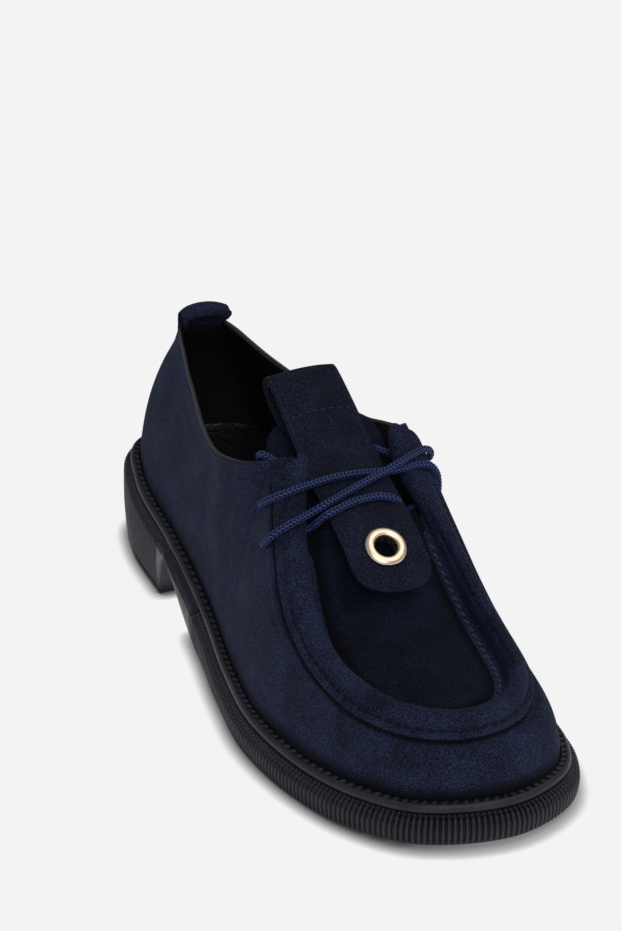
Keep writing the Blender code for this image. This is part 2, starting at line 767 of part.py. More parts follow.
def make_apron_band(suede):
    # Cut between two larger forms: the upper's face moved out by the gap and by the height
    rings = upper_rings()
    normals = grid_normals(rings)
    normals *= np.sign((normals[:, :, 2]).mean())
    first = 1 + len(WALL_LEVELS)
    order = np.arange(FACING_INDEX, 2 * SIDE_COUNT - FACING_INDEX + 1)
    inner, outer = [], []
    for place, level in enumerate(BAND_LEVELS):
        face = rings[first + place][order]
        square = normals[first + place][order]
        swell = math.sin(math.pi * level) ** BAND_FULLNESS
        height = BAND_EDGE_HEIGHT + (BAND_HEIGHT - BAND_EDGE_HEIGHT) * swell
        inner.append(face + square * GAP)
        outer.append(face + square * (GAP + height))
    loop = np.array(inner + outer[::-1])
    points = loop.reshape(-1, 3)
    levels, count = loop.shape[:2]
    faces = []
    for row in range(levels):
        for i in range(count - 1):
            a, b = row * count + i, row * count + i + 1
            c, d = ((row + 1) % levels) * count + i + 1, ((row + 1) % levels) * count + i
            faces.append((a, b, c, d))
    half = levels // 2
    for end in (0, count - 1):
        for row in range(half - 1):
            faces.append((
                row * count + end, (row + 1) * count + end,
                (levels - 2 - row) * count + end, (levels - 1 - row) * count + end))
    return make_object("apron_band", points, faces, suede)


def strip_grid(table, crowns, across):
    shares = np.linspace(-1, 1, across)
    rows = []
    for row, crown in zip(table["rows"], crowns):
        station, height, half = row[:3]
        rows.append([(half * share, station, height - crown * share * share) for share in shares])
    return np.array(rows)


def make_tongue(suede):
    grid = strip_grid(tongue_line, column(tongue_line, "crown"), TONGUE_COLUMNS)
    return sheet_solid("tongue", grid, TONGUE_THICK, suede)


def make_strap(suede):
    crowns = [STRAP_CROWN] * len(strap_line["rows"])
    grid = strip_grid(strap_line, crowns, STRAP_COLUMNS)
    strap = sheet_solid("strap", grid, STRAP_THICK, suede)
    cutter = add_cutter("ring_hole_cutter", RING_HOLE / 2 + STRAP_HOLE_MARGIN, HOLE_REACH, RING_SIDES)
    cutter.location, slope = ring_frame()
    cutter.rotation_euler = (slope, 0, 0)
    add_boolean(strap, cutter, "DIFFERENCE")
    return strap


def ring_frame():
    # Place and tilt of the strap at the ring
    station = column(strap_line, "station")
    height = column(strap_line, "height")
    place = int(np.argmin(abs(station - RING_STATION)))
    slope = math.atan2(height[place + 1] - height[place - 1], station[place - 1] - station[place + 1])
    return placed_point(0.0, station[place], height[place] - RING_SINK), slope


def make_eyelet_ring(gold):
    points = []
    for turn in np.linspace(0, 2 * math.pi, RING_SIDES, endpoint=False):
        for radius, height in ring_section["rows"]:
            points.append((radius * math.cos(turn) * MM, radius * math.sin(turn) * MM, height * MM))
    length = len(ring_section["rows"])
    faces = [tuple(i % len(points) for i in face) for face in grid_faces(RING_SIDES + 1, length, True)]
    mesh = bpy.data.meshes.new("eyelet_ring")
    mesh.from_pydata(points, [], faces)
    ring = add_object("eyelet_ring", mesh, gold)
    ring.location, slope = ring_frame()
    ring.rotation_euler = (slope, 0, 0)
    return ring


def back_line(ring, normals, half, offset):
    # Points across the back of one ring of the upper, moved square to it
    near = np.arange(-LOOP_REACH, LOOP_REACH + 1)
    line = ring[near] + normals[near] * offset
    line = line[np.argsort(line[:, 0])]
    across = half * np.linspace(-1, 1, LOOP_COLUMNS)
    return np.stack([np.interp(across, line[:, 0], line[:, k]) for k in range(3)], axis=1)


def make_heel_loop(suede):
    # The backstay follows the upper's back, arches over the collar as a pull loop and ends inside
    rings = upper_rings()
    normals = grid_normals(rings)
    half = TAB_WIDTH / 2
    levels = range(2, len(rings))
    narrow = half * LOOP_FOOT_SHARE
    foot, next_up = (back_line(rings[level], normals[level], narrow, LOOP_CLEARANCE) for level in (1, 2))
    grid = [foot + (next_up - foot) * LOOP_START]
    for level in levels:
        share = (level - levels[0]) / (levels[-1] - levels[0])
        width = half * (LOOP_FOOT_SHARE + (1 - LOOP_FOOT_SHARE) * share)
        grid.append(back_line(rings[level], normals[level], width, LOOP_CLEARANCE))
    top = grid[-1]
    for straight, station, height, fall in loop_arch["rows"]:
        row = top.copy()
        row[:, 1] = straight * station + (1 - straight) * (top[:, 1] + station - top[:, 1].min())
        row[:, 2] = height - fall * (row[:, 0] / half) ** 2
        grid.append(row)
    for level in (-1, -2, -3):
        inner = back_line(rings[level], normals[level], half * LOOP_INNER_SHARE, -WALL - LOOP_CLEARANCE)
        grid.append(inner)
    return sheet_solid("heel_loop", np.array(grid), TAB_THICK, suede)


def resample(route, step):
    route = np.asarray(route, float)
    ends = np.concatenate([[2 * route[0] - route[1]], route, [2 * route[-1] - route[-2]]])
    fine = []
    for i in range(1, len(ends) - 2):
        p0, p1, p2, p3 = ends[i - 1:i + 3]
        for t in np.linspace(0, 1, ROUTE_STEPS, endpoint=False):
            fine.append(0.5 * (2 * p1 + (p2 - p0) * t + (2 * p0 - 5 * p1 + 4 * p2 - p3) * t * t
                               + (3 * p1 - p0 - 3 * p2 + p3) * t ** 3))
    fine.append(route[-1])
    fine = np.array(fine)
    length = np.concatenate([[0], np.cumsum(np.linalg.norm(np.diff(fine, axis=0), axis=1))])
    count = max(4, int(round(length[-1] / step)))
    at = np.linspace(0, length[-1], count + 1)
    return np.stack([np.interp(at, length, fine[:, k]) for k in range(3)], axis=1)


def lace_tube(name, route, fabric):
    line = resample(route, LACE_STEP)
    run = np.gradient(line, axis=0)
    run /= np.linalg.norm(run, axis=1)[:, None]
    turn = np.linspace(0, 2 * math.pi, LACE_SIDES, endpoint=False)[:, None]
    rings = []
    for point, way in zip(line, run):
        side = np.cross(way, LACE_ASIDE)
        side /= np.linalg.norm(side)
        up = np.cross(side, way)
        rings.append(point + (side * np.cos(turn) + up * np.sin(turn)) * LACE_DIAMETER / 2)
    faces = grid_faces(len(rings), LACE_SIDES, True)
    faces += [tuple(range(LACE_SIDES)), tuple(range((len(rings) - 1) * LACE_SIDES, len(rings) * LACE_SIDES))]
    return make_object(name, np.concatenate(rings), faces, fabric)


def make_laces(fabric):
    crossing = lace_tube("lace_crossing", lace_upper_strand, fabric)
    lower = lace_tube("lace_lower_strand", lace_lower_strand, fabric)
    hide_tool(lower)
    add_boolean(crossing, lower, "UNION")
    lace_tube("lace_bar", lace_bar_route, fabric)


def main():
    for obj in list(bpy.data.objects):
        bpy.data.objects.remove(obj, do_unlink=True)
    rubber = make_material("black_rubber", (0.012, 0.012, 0.015), 0.55)
    suede = make_material("navy_suede", (0.012, 0.018, 0.042), 0.9)
    leather = make_material("black_leather", (0.010, 0.010, 0.011), 0.5)
    gold = make_material("pale_gold_metal", (0.80, 0.66, 0.42), 0.25, 1.0)
    cord = make_material("navy_braid", (0.012, 0.022, 0.085), 0.8)
    make_outsole(rubber)
    make_heel_lift(rubber)
    make_welt(rubber)
    make_insole(leather)
    make_upper(suede)
    make_apron_band(suede)
    make_tongue(suede)
    make_strap(suede)
    make_eyelet_ring(gold)
    make_heel_loop(suede)
    make_laces(cord)


main()
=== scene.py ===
import math

import bmesh
import bpy
import numpy as np
from mathutils import Matrix, Vector, kdtree


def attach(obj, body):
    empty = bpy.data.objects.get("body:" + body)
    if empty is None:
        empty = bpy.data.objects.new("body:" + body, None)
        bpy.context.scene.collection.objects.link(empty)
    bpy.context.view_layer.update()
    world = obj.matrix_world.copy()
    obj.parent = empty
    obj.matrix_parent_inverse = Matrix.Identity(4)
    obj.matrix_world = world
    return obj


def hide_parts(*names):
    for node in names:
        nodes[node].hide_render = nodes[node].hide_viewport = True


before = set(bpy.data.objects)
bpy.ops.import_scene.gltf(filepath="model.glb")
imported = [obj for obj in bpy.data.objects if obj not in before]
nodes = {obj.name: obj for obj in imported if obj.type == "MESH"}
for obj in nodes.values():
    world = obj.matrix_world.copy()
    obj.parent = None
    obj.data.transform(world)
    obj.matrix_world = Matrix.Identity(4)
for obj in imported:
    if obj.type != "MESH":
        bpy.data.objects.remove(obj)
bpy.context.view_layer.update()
print("frame loaded with", len(nodes), "solids")

# Lengths below are millimetres: across (lateral is negative), station (distance forward
# from the back of the sole) and height. place() turns them into the frame's metres.
mm = 0.001

shoe = {
    "soleLength": 275.0,
    "ballWidth": 102.0,
    "heelHeight": 37.5,
    "forefootHeight": 10.6,
    "toeSpring": 3.2,
    "liftHeight": 1.8,
    "upperRise": 5.0,
    "wall": 2.0,
    "gap": 0.3,
    "upperInset": 7.3,
    "breastStation": 70.0,
    "breastLean": 0.45,
    "archStart": 80.0,
    "archEnd": 118.0,
    "archRise": 20.2,
    "collarBand": 6.0,
    "bandRidge": 1.3,
    "collarCorner": 147.0,
    "facingCorner": 155.0,
    "throat": 178.0,
    "toeOffset": 6.3,
    "outlineSteps": 60,
}

# Plan of the sole: half widths either side of the long axis
solePlan = (
    ("station", "lateral", "medial"),
    (8.0, 29.4, 28.9),
    (33.0, 38.9, 39.2),
    (74.0, 41.8, 39.4),
    (115.0, 44.5, 36.4),
    (154.0, 51.4, 41.2),
    (187.0, 55.2, 46.8),
    (220.0, 50.8, 47.9),
    (247.5, 40.5, 43.9),
    (265.5, 25.0, 32.6),
)
# Height of the top of the ribbed wall, then of its foot from the arch forward
soleTop = (
    ("station", "height"),
    (0.0, shoe["heelHeight"]),
    (20.0, 33.2),
    (41.0, 29.2),
    (82.0, 23.2),
    (124.0, 13.7),
    (165.0, shoe["forefootHeight"]),
    (215.0, shoe["forefootHeight"]),
    (250.0, 12.3),
    (275.0, shoe["forefootHeight"] + shoe["toeSpring"]),
)
soleFoot = (
    ("station", "height"),
    (shoe["archStart"], shoe["archRise"]),
    (90.0, 14.2),
    (102.0, 5.6),
    (111.0, 1.4),
    (shoe["archEnd"], 0.0),
    (205.0, 0.0),
    (228.0, 0.4),
    (250.0, 1.8),
    (275.0, shoe["toeSpring"]),
)
# The upper's free edge: the collar, the corner of the facing, then the lip of the apron.
# The medial side stands higher by the last column.
upperRim = (
    ("base", "station", "lateral", "medial", "height", "lift"),
    (0.0, 14.5, 0.0, 0.0, 91.0, 0.0),
    (4.0, 15.3, 5.0, 5.0, 90.7, 0.0),
    (12.0, 18.5, 9.0, 9.0, 89.8, 0.0),
    (24.0, 26.0, 12.4, 12.4, 88.0, 0.0),
    (36.0, 35.5, 14.9, 14.9, 85.6, 0.0),
    (48.0, 47.0, 18.0, 18.0, 82.8, 0.0),
    (60.0, 59.0, 20.9, 20.9, 81.0, 0.0),
    (75.0, 74.5, 24.8, 24.8, 78.8, 0.0),
    (90.0, 90.0, 28.5, 28.5, 77.4, 0.0),
    (105.0, 105.5, 31.6, 31.6, 78.3, 0.3),
    (118.0, 119.0, 33.0, 32.2, 81.0, 1.2),
    (130.0, 131.0, 32.0, 30.8, 84.0, 2.4),
    (140.0, 141.0, 28.6, 28.6, 87.2, 3.4),
    (147.0, 147.0, 24.2, 27.6, 90.0, 4.0),
    (151.0, 149.6, 19.2, 25.0, 91.0, 4.0),
    (155.0, 151.4, 15.2, 21.4, 89.9, 3.8),
    (160.0, 154.4, 16.2, 20.6, 84.4, 3.0),
    (168.0, 159.5, 19.2, 22.0, 77.4, 1.4),
    (178.0, 167.5, 22.6, 25.8, 69.4, 0.2),
    (190.0, 178.0, 26.1, 28.2, 60.2, 0.0),
    (202.0, 189.0, 28.2, 29.2, 52.6, 0.0),
    (214.0, 200.2, 29.2, 29.4, 46.8, 0.0),
    (226.0, 212.0, 28.6, 29.0, 43.0, 0.0),
    (238.0, 223.6, 26.0, 27.8, 40.8, 0.0),
    (248.0, 233.8, 21.8, 25.2, 39.7, 0.0),
    (258.0, 242.2, 15.4, 20.0, 39.0, 0.0),
    (265.0, 246.6, 9.8, 13.8, 38.9, 0.0),
    (271.0, 249.3, 4.2, 7.4, 38.8, 0.0),
    (275.0, 250.1, -1.2, 1.2, 38.8, 0.0),
)
# The outer edge of the apron band, which runs up both facings to the collar
bandEdge = (
    ("base", "station", "lateral", "medial", "height", "lift"),
    (147.0, 147.4, 26.2, 30.0, 84.2, 3.6),
    (151.0, 149.0, 26.2, 30.6, 83.9, 3.6),
    (155.0, 151.2, 26.6, 31.2, 82.4, 3.2),
    (160.0, 155.0, 28.0, 32.2, 79.2, 2.2),
    (168.0, 161.5, 30.8, 33.2, 72.8, 0.8),
    (178.0, 170.5, 34.0, 34.2, 64.8, 0.0),
    (190.0, 181.5, 37.4, 34.9, 55.6, 0.0),
    (202.0, 192.5, 38.8, 35.0, 48.2, 0.0),
    (214.0, 204.0, 38.6, 34.8, 42.6, 0.0),
    (226.0, 216.5, 37.2, 34.2, 38.8, 0.0),
    (238.0, 229.5, 34.4, 32.6, 36.4, 0.0),
    (248.0, 239.3, 29.6, 29.4, 35.1, 0.0),
    (258.0, 249.0, 21.5, 22.8, 34.1, 0.0),
    (265.0, 254.3, 13.8, 16.6, 33.8, 0.0),
    (271.0, 257.4, 6.0, 9.0, 33.8, 0.0),
    (275.0, 258.3, -1.5, 1.5, 33.8, 0.0),
)
# How round the wall is between the sole and the band, and the sunk apron's own form
upperForm = (
    ("base", "roundness", "bulge", "creaseDrop", "crown"),
    (0.0, 0.15, 2.2, 2.5, 6.0),
    (60.0, 0.15, 1.4, 2.5, 6.0),
    (120.0, 0.20, 0.8, 2.5, 6.0),
    (150.0, 0.30, 0.6, 2.5, 6.0),
    (178.0, 0.40, 0.4, 2.8, 6.3),
    (205.0, 0.50, 0.2, 6.0, 7.8),
    (230.0, 0.56, 0.3, 6.4, 6.6),
    (255.0, 0.76, 0.6, 5.6, 3.2),
    (275.0, 0.95, 0.8, 5.0, 0.0),
)
# Rings up the wall from the welt to the band, then across the band to the free edge
wallLevels = (0.0, 0.12, 0.3, 0.52, 0.76)
bandLevels = (0.0, 0.25, 0.5, 0.75, 1.0)
sameSpot = 0.01  # lengths closer than this are one


def column(table, name):
    order = table[0].index(name)
    return np.array([row[order] for row in table[1:]])


def unit(vectors):
    return vectors / np.linalg.norm(vectors, axis=-1, keepdims=True)


def smoothCurve(knots, values, at):
    # A cubic through the rows that never swings past them
    knots = np.asarray(knots, float)
    values = np.asarray(values, float)
    step = np.diff(knots)
    slope = np.diff(values) / step
    tangent = np.concatenate([[slope[0]], np.zeros(len(step) - 1), [slope[-1]]])
    for i in range(1, len(step)):
        if slope[i - 1] * slope[i] > 0:
            near = 2 * step[i] + step[i - 1]
            far = step[i] + 2 * step[i - 1]
            tangent[i] = (near + far) / (near / slope[i - 1] + far / slope[i])
    return cubicBetween(knots, values, tangent, at)


def cubicBetween(knots, values, tangent, at):
    at = np.clip(np.asarray(at, float), knots[0], knots[-1])
    cell = np.clip(np.searchsorted(knots, at, side="right") - 1, 0, len(knots) - 2)
    step = knots[cell + 1] - knots[cell]
    t = (at - knots[cell]) / step
    if values.ndim > 1:
        shape = (-1,) + (1,) * (values.ndim - 1)
        t = t.reshape(shape)
        step = step.reshape(shape)
    return (
        values[cell] * (1 + 2 * t) * (1 - t) ** 2
        + tangent[cell] * step * t * (1 - t) ** 2
        + values[cell + 1] * t * t * (3 - 2 * t)
        + tangent[cell + 1] * step * t * t * (t - 1)
    )


def refine(rows, count):
    # The same rows of points as a smooth curve or sheet with many more of them
    rows = np.asarray(rows, float)
    gaps = np.linalg.norm(np.diff(rows, axis=0), axis=-1)
    if gaps.ndim > 1:
        gaps = gaps.mean(axis=1)
    knots = np.concatenate([[0.0], np.cumsum(gaps)])
    at = np.linspace(0.0, knots[-1], count)
    return cubicBetween(knots, rows, np.gradient(rows, knots, axis=0), at)


def lengthOf(line):
    return np.concatenate([[0.0], np.cumsum(np.linalg.norm(np.diff(line, axis=0), axis=1))])


def alongLine(values, length, where):
    return np.stack([np.interp(where, length, values[:, k]) for k in range(values.shape[1])], axis=1)


def evenly(line, step):
    # A line resampled to equal steps of its own length
    length = lengthOf(line)
    return alongLine(line, length, np.linspace(0.0, length[-1], max(3, int(round(length[-1] / step)) + 1)))


def readTable(table, name, at):
    return smoothCurve(column(table, table[0][0]), column(table, name), at)


def angleOf(station):
    # Even steps of this angle crowd the stations at heel and toe, where the plan turns
    return np.arccos(1.0 - 2.0 * np.asarray(station, float) / shoe["soleLength"])


def readRound(table, name, station, farName=None):
    # Past heel and toe the rows run on along the other side, so a curve has no kink there
    knots = angleOf(column(table, "base"))
    values = column(table, name)
    beyond = values if farName is None else -column(table, farName)
    if knots[0] == 0.0:
        knots = np.concatenate([-knots[3:0:-1], knots])
        values = np.concatenate([beyond[3:0:-1], values])
    knots = np.concatenate([knots, 2 * math.pi - knots[-2:-5:-1]])
    values = np.concatenate([values, beyond[-2:-5:-1]])
    return smoothCurve(knots, values, angleOf(station))


def closedSpline(points, count):
    # A closed curve through the points, the same number of steps between each two
    n = len(points)
    knot = np.sqrt(np.linalg.norm(np.roll(points, -1, 0) - points, axis=1))
    t = np.linspace(0, 1, count, endpoint=False)[:, None]
    samples = []
    for i in range(n):
        p0, p1, p2, p3 = (points[(i + step) % n] for step in (-1, 0, 1, 2))
        d0, d1, d2 = knot[i - 1], knot[i], knot[(i + 1) % n]
        m1 = (p1 - p0) / d0 - (p2 - p0) / (d0 + d1) + (p2 - p1) / d1
        m2 = (p2 - p1) / d1 - (p3 - p1) / (d1 + d2) + (p3 - p2) / d2
        samples.append(
            (1 + 2 * t) * (1 - t) ** 2 * p1 + t * (1 - t) ** 2 * d1 * m1
            + t * t * (3 - 2 * t) * p2 + t * t * (t - 1) * d1 * m2
        )
    return np.concatenate(samples)


def soleOutline():
    station = column(solePlan, "station")
    lateral = column(solePlan, "lateral")
    medial = column(solePlan, "medial")
    scale = shoe["ballWidth"] / max(lateral + medial)
    near = np.stack([-lateral * scale, station], axis=1)
    far = np.stack([medial * scale, station], axis=1)[::-1]
    toe = [(shoe["toeOffset"], shoe["soleLength"])]
    return closedSpline(np.concatenate([[(0.0, 0.0)], near, toe, far]), shoe["outlineSteps"])


outline = soleOutline()
middle = (outline.min(axis=0) + outline.max(axis=0)) / 2
heelPoint = int(np.argmin(outline[:, 1]))
toePoint = int(np.argmax(outline[:, 1]))
lateralSide = outline[heelPoint:toePoint + 1]
medialSide = np.concatenate([outline[toePoint:], outline[:heelPoint + 1]])[::-1]


def place(points):
    points = np.asarray(points, float)
    moved = np.empty_like(points)
    moved[..., 0] = points[..., 0] - middle[0]
    moved[..., 1] = middle[1] - points[..., 1]
    moved[..., 2] = points[..., 2]
    return moved * mm


def sideRing(side, stations, inset):
    # Points along one side of the sole's edge, moved square to it towards the middle
    at = np.interp(stations, side[:, 1], np.arange(len(side)))
    low = np.clip(np.floor(at).astype(int), 0, len(side) - 2)
    share = (at - low)[:, None]
    point = side[low] * (1 - share) + side[low + 1] * share
    run = unit(side[np.clip(low + 2, 0, len(side) - 1)] - side[np.clip(low - 1, 0, len(side) - 1)])
    turn = 1.0 if side is lateralSide else -1.0
    return point + np.stack([run[:, 1], -run[:, 0]], axis=1) * turn * inset


def bothSides(near, far):
    # Up the lateral side and back down the medial one: point i faces point -i
    return np.concatenate([near, far[-2:0:-1]])


def planRing(stations, inset):
    ring = bothSides(sideRing(lateralSide, stations, inset), sideRing(medialSide, stations, inset))
    ring[0, 0] = (ring[1, 0] + ring[-1, 0]) / 2
    return ring


def sideStations(count, extra=()):
    stations = shoe["soleLength"] * (1 - np.cos(np.linspace(0, math.pi, count + 1))) / 2
    return np.unique(np.concatenate([stations, np.asarray(extra, float)]))


def footHeight(station):
    # The breast of the heel leans forward as it rises, then the arch comes down to the ball
    liftTop = shoe["liftHeight"] + shoe["gap"]
    breast = (station - shoe["breastStation"]) / shoe["breastLean"]
    arch = readTable(soleFoot, "height", station)
    heel = np.maximum(liftTop, np.minimum(breast, arch))
    return np.where(station < shoe["archStart"] - sameSpot, heel, arch)


def overSole(ring, rise):
    # The points of a plan ring this far above the top edge of the sole
    return np.column_stack([ring, readTable(soleTop, "height", ring[:, 1]) + rise])


def edgeLine(table, stations):
    back = stations[-2:0:-1]
    near = -readRound(table, "lateral", stations, "medial")
    far = readRound(table, "medial", back, "lateral")
    whole = np.concatenate([stations, back])
    across = np.concatenate([near, far])
    height = readRound(table, "height", whole)
    height[len(stations):] += readRound(table, "lift", back)
    return np.stack([across, readRound(table, "station", whole), height], axis=1)


def upperRings(stations):
    # Rings of the upper's outer face from the sole up to the collar and the apron's lip
    base = planRing(stations, shoe["upperInset"])
    start = overSole(base, shoe["upperRise"])
    rim = edgeLine(upperRim, stations)
    everyStation = bothSides(stations, stations)
    edge = edgeLine(bandEdge, np.maximum(stations, shoe["collarCorner"]))
    down = unit(start - rim)
    behind = everyStation < shoe["collarCorner"] - sameSpot
    edge[behind] = (rim + down * shoe["collarBand"])[behind]
    roundness = readRound(upperForm, "roundness", everyStation)[:, None]
    bulge = readRound(upperForm, "bulge", everyStation)[:, None]
    outward = (planRing(stations, 0.0) - base) / shoe["upperInset"]
    rings = [overSole(base, shoe["gap"])]
    for level in wallLevels:
        turn = level * math.pi / 2
        flat = (1 - roundness) * level + roundness * (1 - math.cos(turn))
        rise = (1 - roundness[:, 0]) * level + roundness[:, 0] * math.sin(turn)
        plan = start[:, :2] + (edge - start)[:, :2] * flat + outward * bulge * math.sin(math.pi * level)
        rings.append(np.column_stack([plan, start[:, 2] + (edge - start)[:, 2] * rise]))
    reach = shoe["facingCorner"] - shoe["collarCorner"]
    fore = np.clip((everyStation - shoe["collarCorner"]) / reach, 0.0, 1.0)
    for level in bandLevels:
        ring = edge + (rim - edge) * level
        ring[:, 2] += shoe["bandRidge"] * fore * math.sin(math.pi * level)
        rings.append(ring)
    return np.array(rings)


def gridNormals(grid, closed=True):
    if closed:
        across = np.roll(grid, -1, axis=1) - np.roll(grid, 1, axis=1)
    else:
        across = np.gradient(grid, axis=1)
    normal = np.cross(np.gradient(grid, axis=0), across)
    return normal / np.maximum(np.linalg.norm(normal, axis=2), 1e-9)[:, :, None]


def gridQuads(rows, columns, wrapColumns=False, wrapRows=False):
    row, col = np.meshgrid(
        np.arange(rows if wrapRows else rows - 1),
        np.arange(columns if wrapColumns else columns - 1),
        indexing="ij",
    )
    row, col = row.ravel(), col.ravel()
    nextRow, nextCol = (row + 1) % rows, (col + 1) % columns
    return np.stack(
        [row * columns + col, row * columns + nextCol, nextRow * columns + nextCol, nextRow * columns + col],
        axis=1,
    ).tolist()


def strips(length, first):
    # Faces straight across a ring whose point i faces point -i
    faces = []
    for i in range(length // 2):
        corners = [first + i, first + i + 1, first + (length - i - 1) % length, first + (length - i) % length]
        corners = list(dict.fromkeys(corners))
        if len(corners) > 2:
            faces.append(corners)
    return faces


def ends(rows, columns):
    # Faces that close the first and the last ring of a tube
    return [list(range(columns)), list(range((rows - 1) * columns, rows * columns))]


def meshOf(work, name):
    mesh = bpy.data.meshes.new(name)
    work.to_mesh(mesh)
    work.free()
    return mesh


def addObject(name, data):
    thing = bpy.data.objects.new(name, data)
    bpy.context.scene.collection.objects.link(thing)
    return thing


def smooth(mesh, sharp):
    mesh.shade_smooth()
    mesh.set_sharp_from_angle(angle=math.radians(sharp))


def addPiece(name, mesh, materials, sharp):
    smooth(mesh, sharp)
    for material in materials:
        mesh.materials.append(material)
    piece = addObject(name, mesh)
    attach(piece, "root")
    return piece


def makePiece(name, points, faces, materials, awayFrom=None, sharp=50.0, marks=None):
    # A mesh from points in millimetres; an open sheet is turned to face away from a point,
    # and marks are one named number for each point, which a material reads
    mesh = bpy.data.meshes.new(name)
    mesh.from_pydata(place(points).reshape(-1, 3).tolist(), [], faces)
    if marks:
        markName, values = marks
        mark = mesh.attributes.new(markName, "FLOAT", "POINT")
        mark.data.foreach_set("value", values.ravel().astype(np.float32))
    work = bmesh.new()
    work.from_mesh(mesh)
    bmesh.ops.remove_doubles(work, verts=work.verts, dist=0.004 * mm)
    if awayFrom is None:
        bmesh.ops.recalc_face_normals(work, faces=work.faces)
    else:
        pivot = Vector(place(awayFrom))
        facing = 0.0
        for face in work.faces:
            facing += face.normal.dot((face.calc_center_median() - pivot).normalized()) * face.calc_area()
        if facing < 0:
            bmesh.ops.reverse_faces(work, faces=work.faces)
    work.to_mesh(mesh)
    work.free()
    return addPiece(name, mesh, materials, sharp)


def thicken(piece, thickness, edgeRadius):
    # Gives a sheet its thickness under the face, then eases its cut edges
    wall = piece.modifiers.new("wall", "SOLIDIFY")
    wall.thickness = thickness * mm
    wall.offset = -1.0
    wall.use_quality_normals = True
    wall.material_offset_rim = 1
    if edgeRadius:
        ease = piece.modifiers.new("easedEdge", "BEVEL")
        ease.width = edgeRadius * mm
        ease.segments = 2
        ease.limit_method = "ANGLE"
        ease.angle_limit = math.radians(60)


def settle(piece, sharp=50.0):
    # Puts the modifiers' result into the mesh itself
    graph = bpy.context.evaluated_depsgraph_get()
    mesh = bpy.data.meshes.new_from_object(piece.evaluated_get(graph))
    piece.modifiers.clear()
    piece.data = mesh
    smooth(mesh, sharp)


def punch(pieces, name, frames, radius, depth, segments, foldedOver=False):
    # Cuts round holes along the frames' own axes, also where a piece laps itself
    work = bmesh.new()
    for matrix in frames:
        bmesh.ops.create_cone(
            work, cap_ends=True, segments=segments, radius1=radius * mm, radius2=radius * mm,
            depth=depth * mm, matrix=matrix)
    tool = addObject(name, meshOf(work, name))
    for piece in pieces:
        cut = piece.modifiers.new(name, "BOOLEAN")
        cut.operation = "DIFFERENCE"
        cut.solver = "EXACT"
        cut.use_self = foldedOver
        cut.object = tool
    bpy.context.view_layer.update()
    for piece in pieces:
        settle(piece)
    bpy.data.objects.remove(tool)


def addWaves(piece, name, size, height):
    # Soft unevenness of leather pulled over a last
    clouds = bpy.data.textures.new(name, "CLOUDS")
    clouds.noise_scale = size * mm
    clouds.noise_depth = 1
    waves = piece.modifiers.new(name, "DISPLACE")
    waves.texture = clouds
    waves.texture_coords = "GLOBAL"
    waves.strength = height * mm


def pressCreases(grid, normals, creases):
    # Troughs and ridges, given one by one: each is a soft line from one point to another
    shaped = grid.copy()
    for start, end, width, height in creases:
        start, end = np.array(start), np.array(end)
        run = end - start
        share = np.clip(((grid - start) @ run) / (run @ run), 0.0, 1.0)
        away = np.linalg.norm(grid - (start + share[..., None] * run), axis=-1)
        shaped += normals * (height * np.exp(-((away / width) ** 2)))[..., None]
    return shaped


# Half a stitch from its middle out: place, height, and thickness of the thread
stitchForm = ((0.3, 0.42, 1.0), (0.7, 0.25, 1.0), (0.93, -0.25, 0.85), (1.0, -0.9, 0.5))


def layStitches(name, centre, run, up, thread, sizes):
    # One joined mesh of stitches: each rises from its hole, lies flat and dips again
    side = np.cross(run, up)
    count = len(centre)
    half = sizes["length"] / 2
    form = [(-a, h, w) for a, h, w in stitchForm[::-1]] + list(stitchForm)
    sides = 8
    radius = sizes["thread"] / 2
    slant = sizes.get("slant", 0.0)
    points = []
    for a, h, w in form:
        for angle in np.linspace(0, 2 * math.pi, sides, endpoint=False):
            sideways = radius * w * math.cos(angle) + slant * a * half
            rise = radius * w * math.sin(angle) + h * sizes["thread"] + sizes.get("lift", 0.0)
            points.append(centre + run * a * half + side * sideways + up * rise)
    points = np.array(points).transpose(1, 0, 2).reshape(-1, 3)
    total = len(form) * sides
    one = np.array(gridQuads(len(form), sides, wrapColumns=True))
    faces = (one[None] + (np.arange(count) * total)[:, None, None]).reshape(-1, 4).tolist()
    for i in range(count):
        faces.append([i * total + k for k in range(sides)])
        faces.append([i * total + total - sides + k for k in range(sides)])
    makePiece(name, points, faces, [thread])


def lineStitches(name, line, normals, thread, sizes):
    # A row of stitches along a line on a surface
    length = lengthOf(line)
    count = int(length[-1] // sizes["pitch"])
    middles = (np.arange(count) + 0.5) * length[-1] / count
    reach = 0.2
    run = unit(alongLine(line, length, middles + reach) - alongLine(line, length, middles - reach))
    up = alongLine(normals, length, middles)
    up = unit(up - run * (up * run).sum(axis=1)[:, None])
    layStitches(name, alongLine(line, length, middles), run, up, thread, sizes)


# Materials

def linear(hexColour):
    # An sRGB hex colour as the linear values the shaders want
    values = [int(hexColour[i:i + 2], 16) / 255 for i in (1, 3, 5)]
    return tuple(v / 12.92 if v <= 0.04045 else ((v + 0.055) / 1.055) ** 2.4 for v in values) + (1.0,)


def addNode(tree, kind, settings=None, values=None, links=None, feeds=None, stops=()):
    # One node with its settings, its sockets' values, its links in and out, and colour stops
    node = tree.nodes.new(kind)
    for name, value in (settings or {}).items():
        setattr(node, name, value)
    for socket, value in (values or {}).items():
        node.inputs[socket].default_value = value
    for socket, source in (links or {}).items():
        tree.links.new(source, node.inputs[socket])
    for output, socket in (feeds or {}).items():
        tree.links.new(node.outputs[output], socket)
    if stops:
        elements = node.color_ramp.elements
        elements[0].position = stops[0][0]
        elements[-1].position = stops[-1][0]
        for position, colour in stops[1:-1]:
            elements.new(position)
        for element, (position, colour) in zip(elements, stops):
            element.color = linear(colour)
    return node


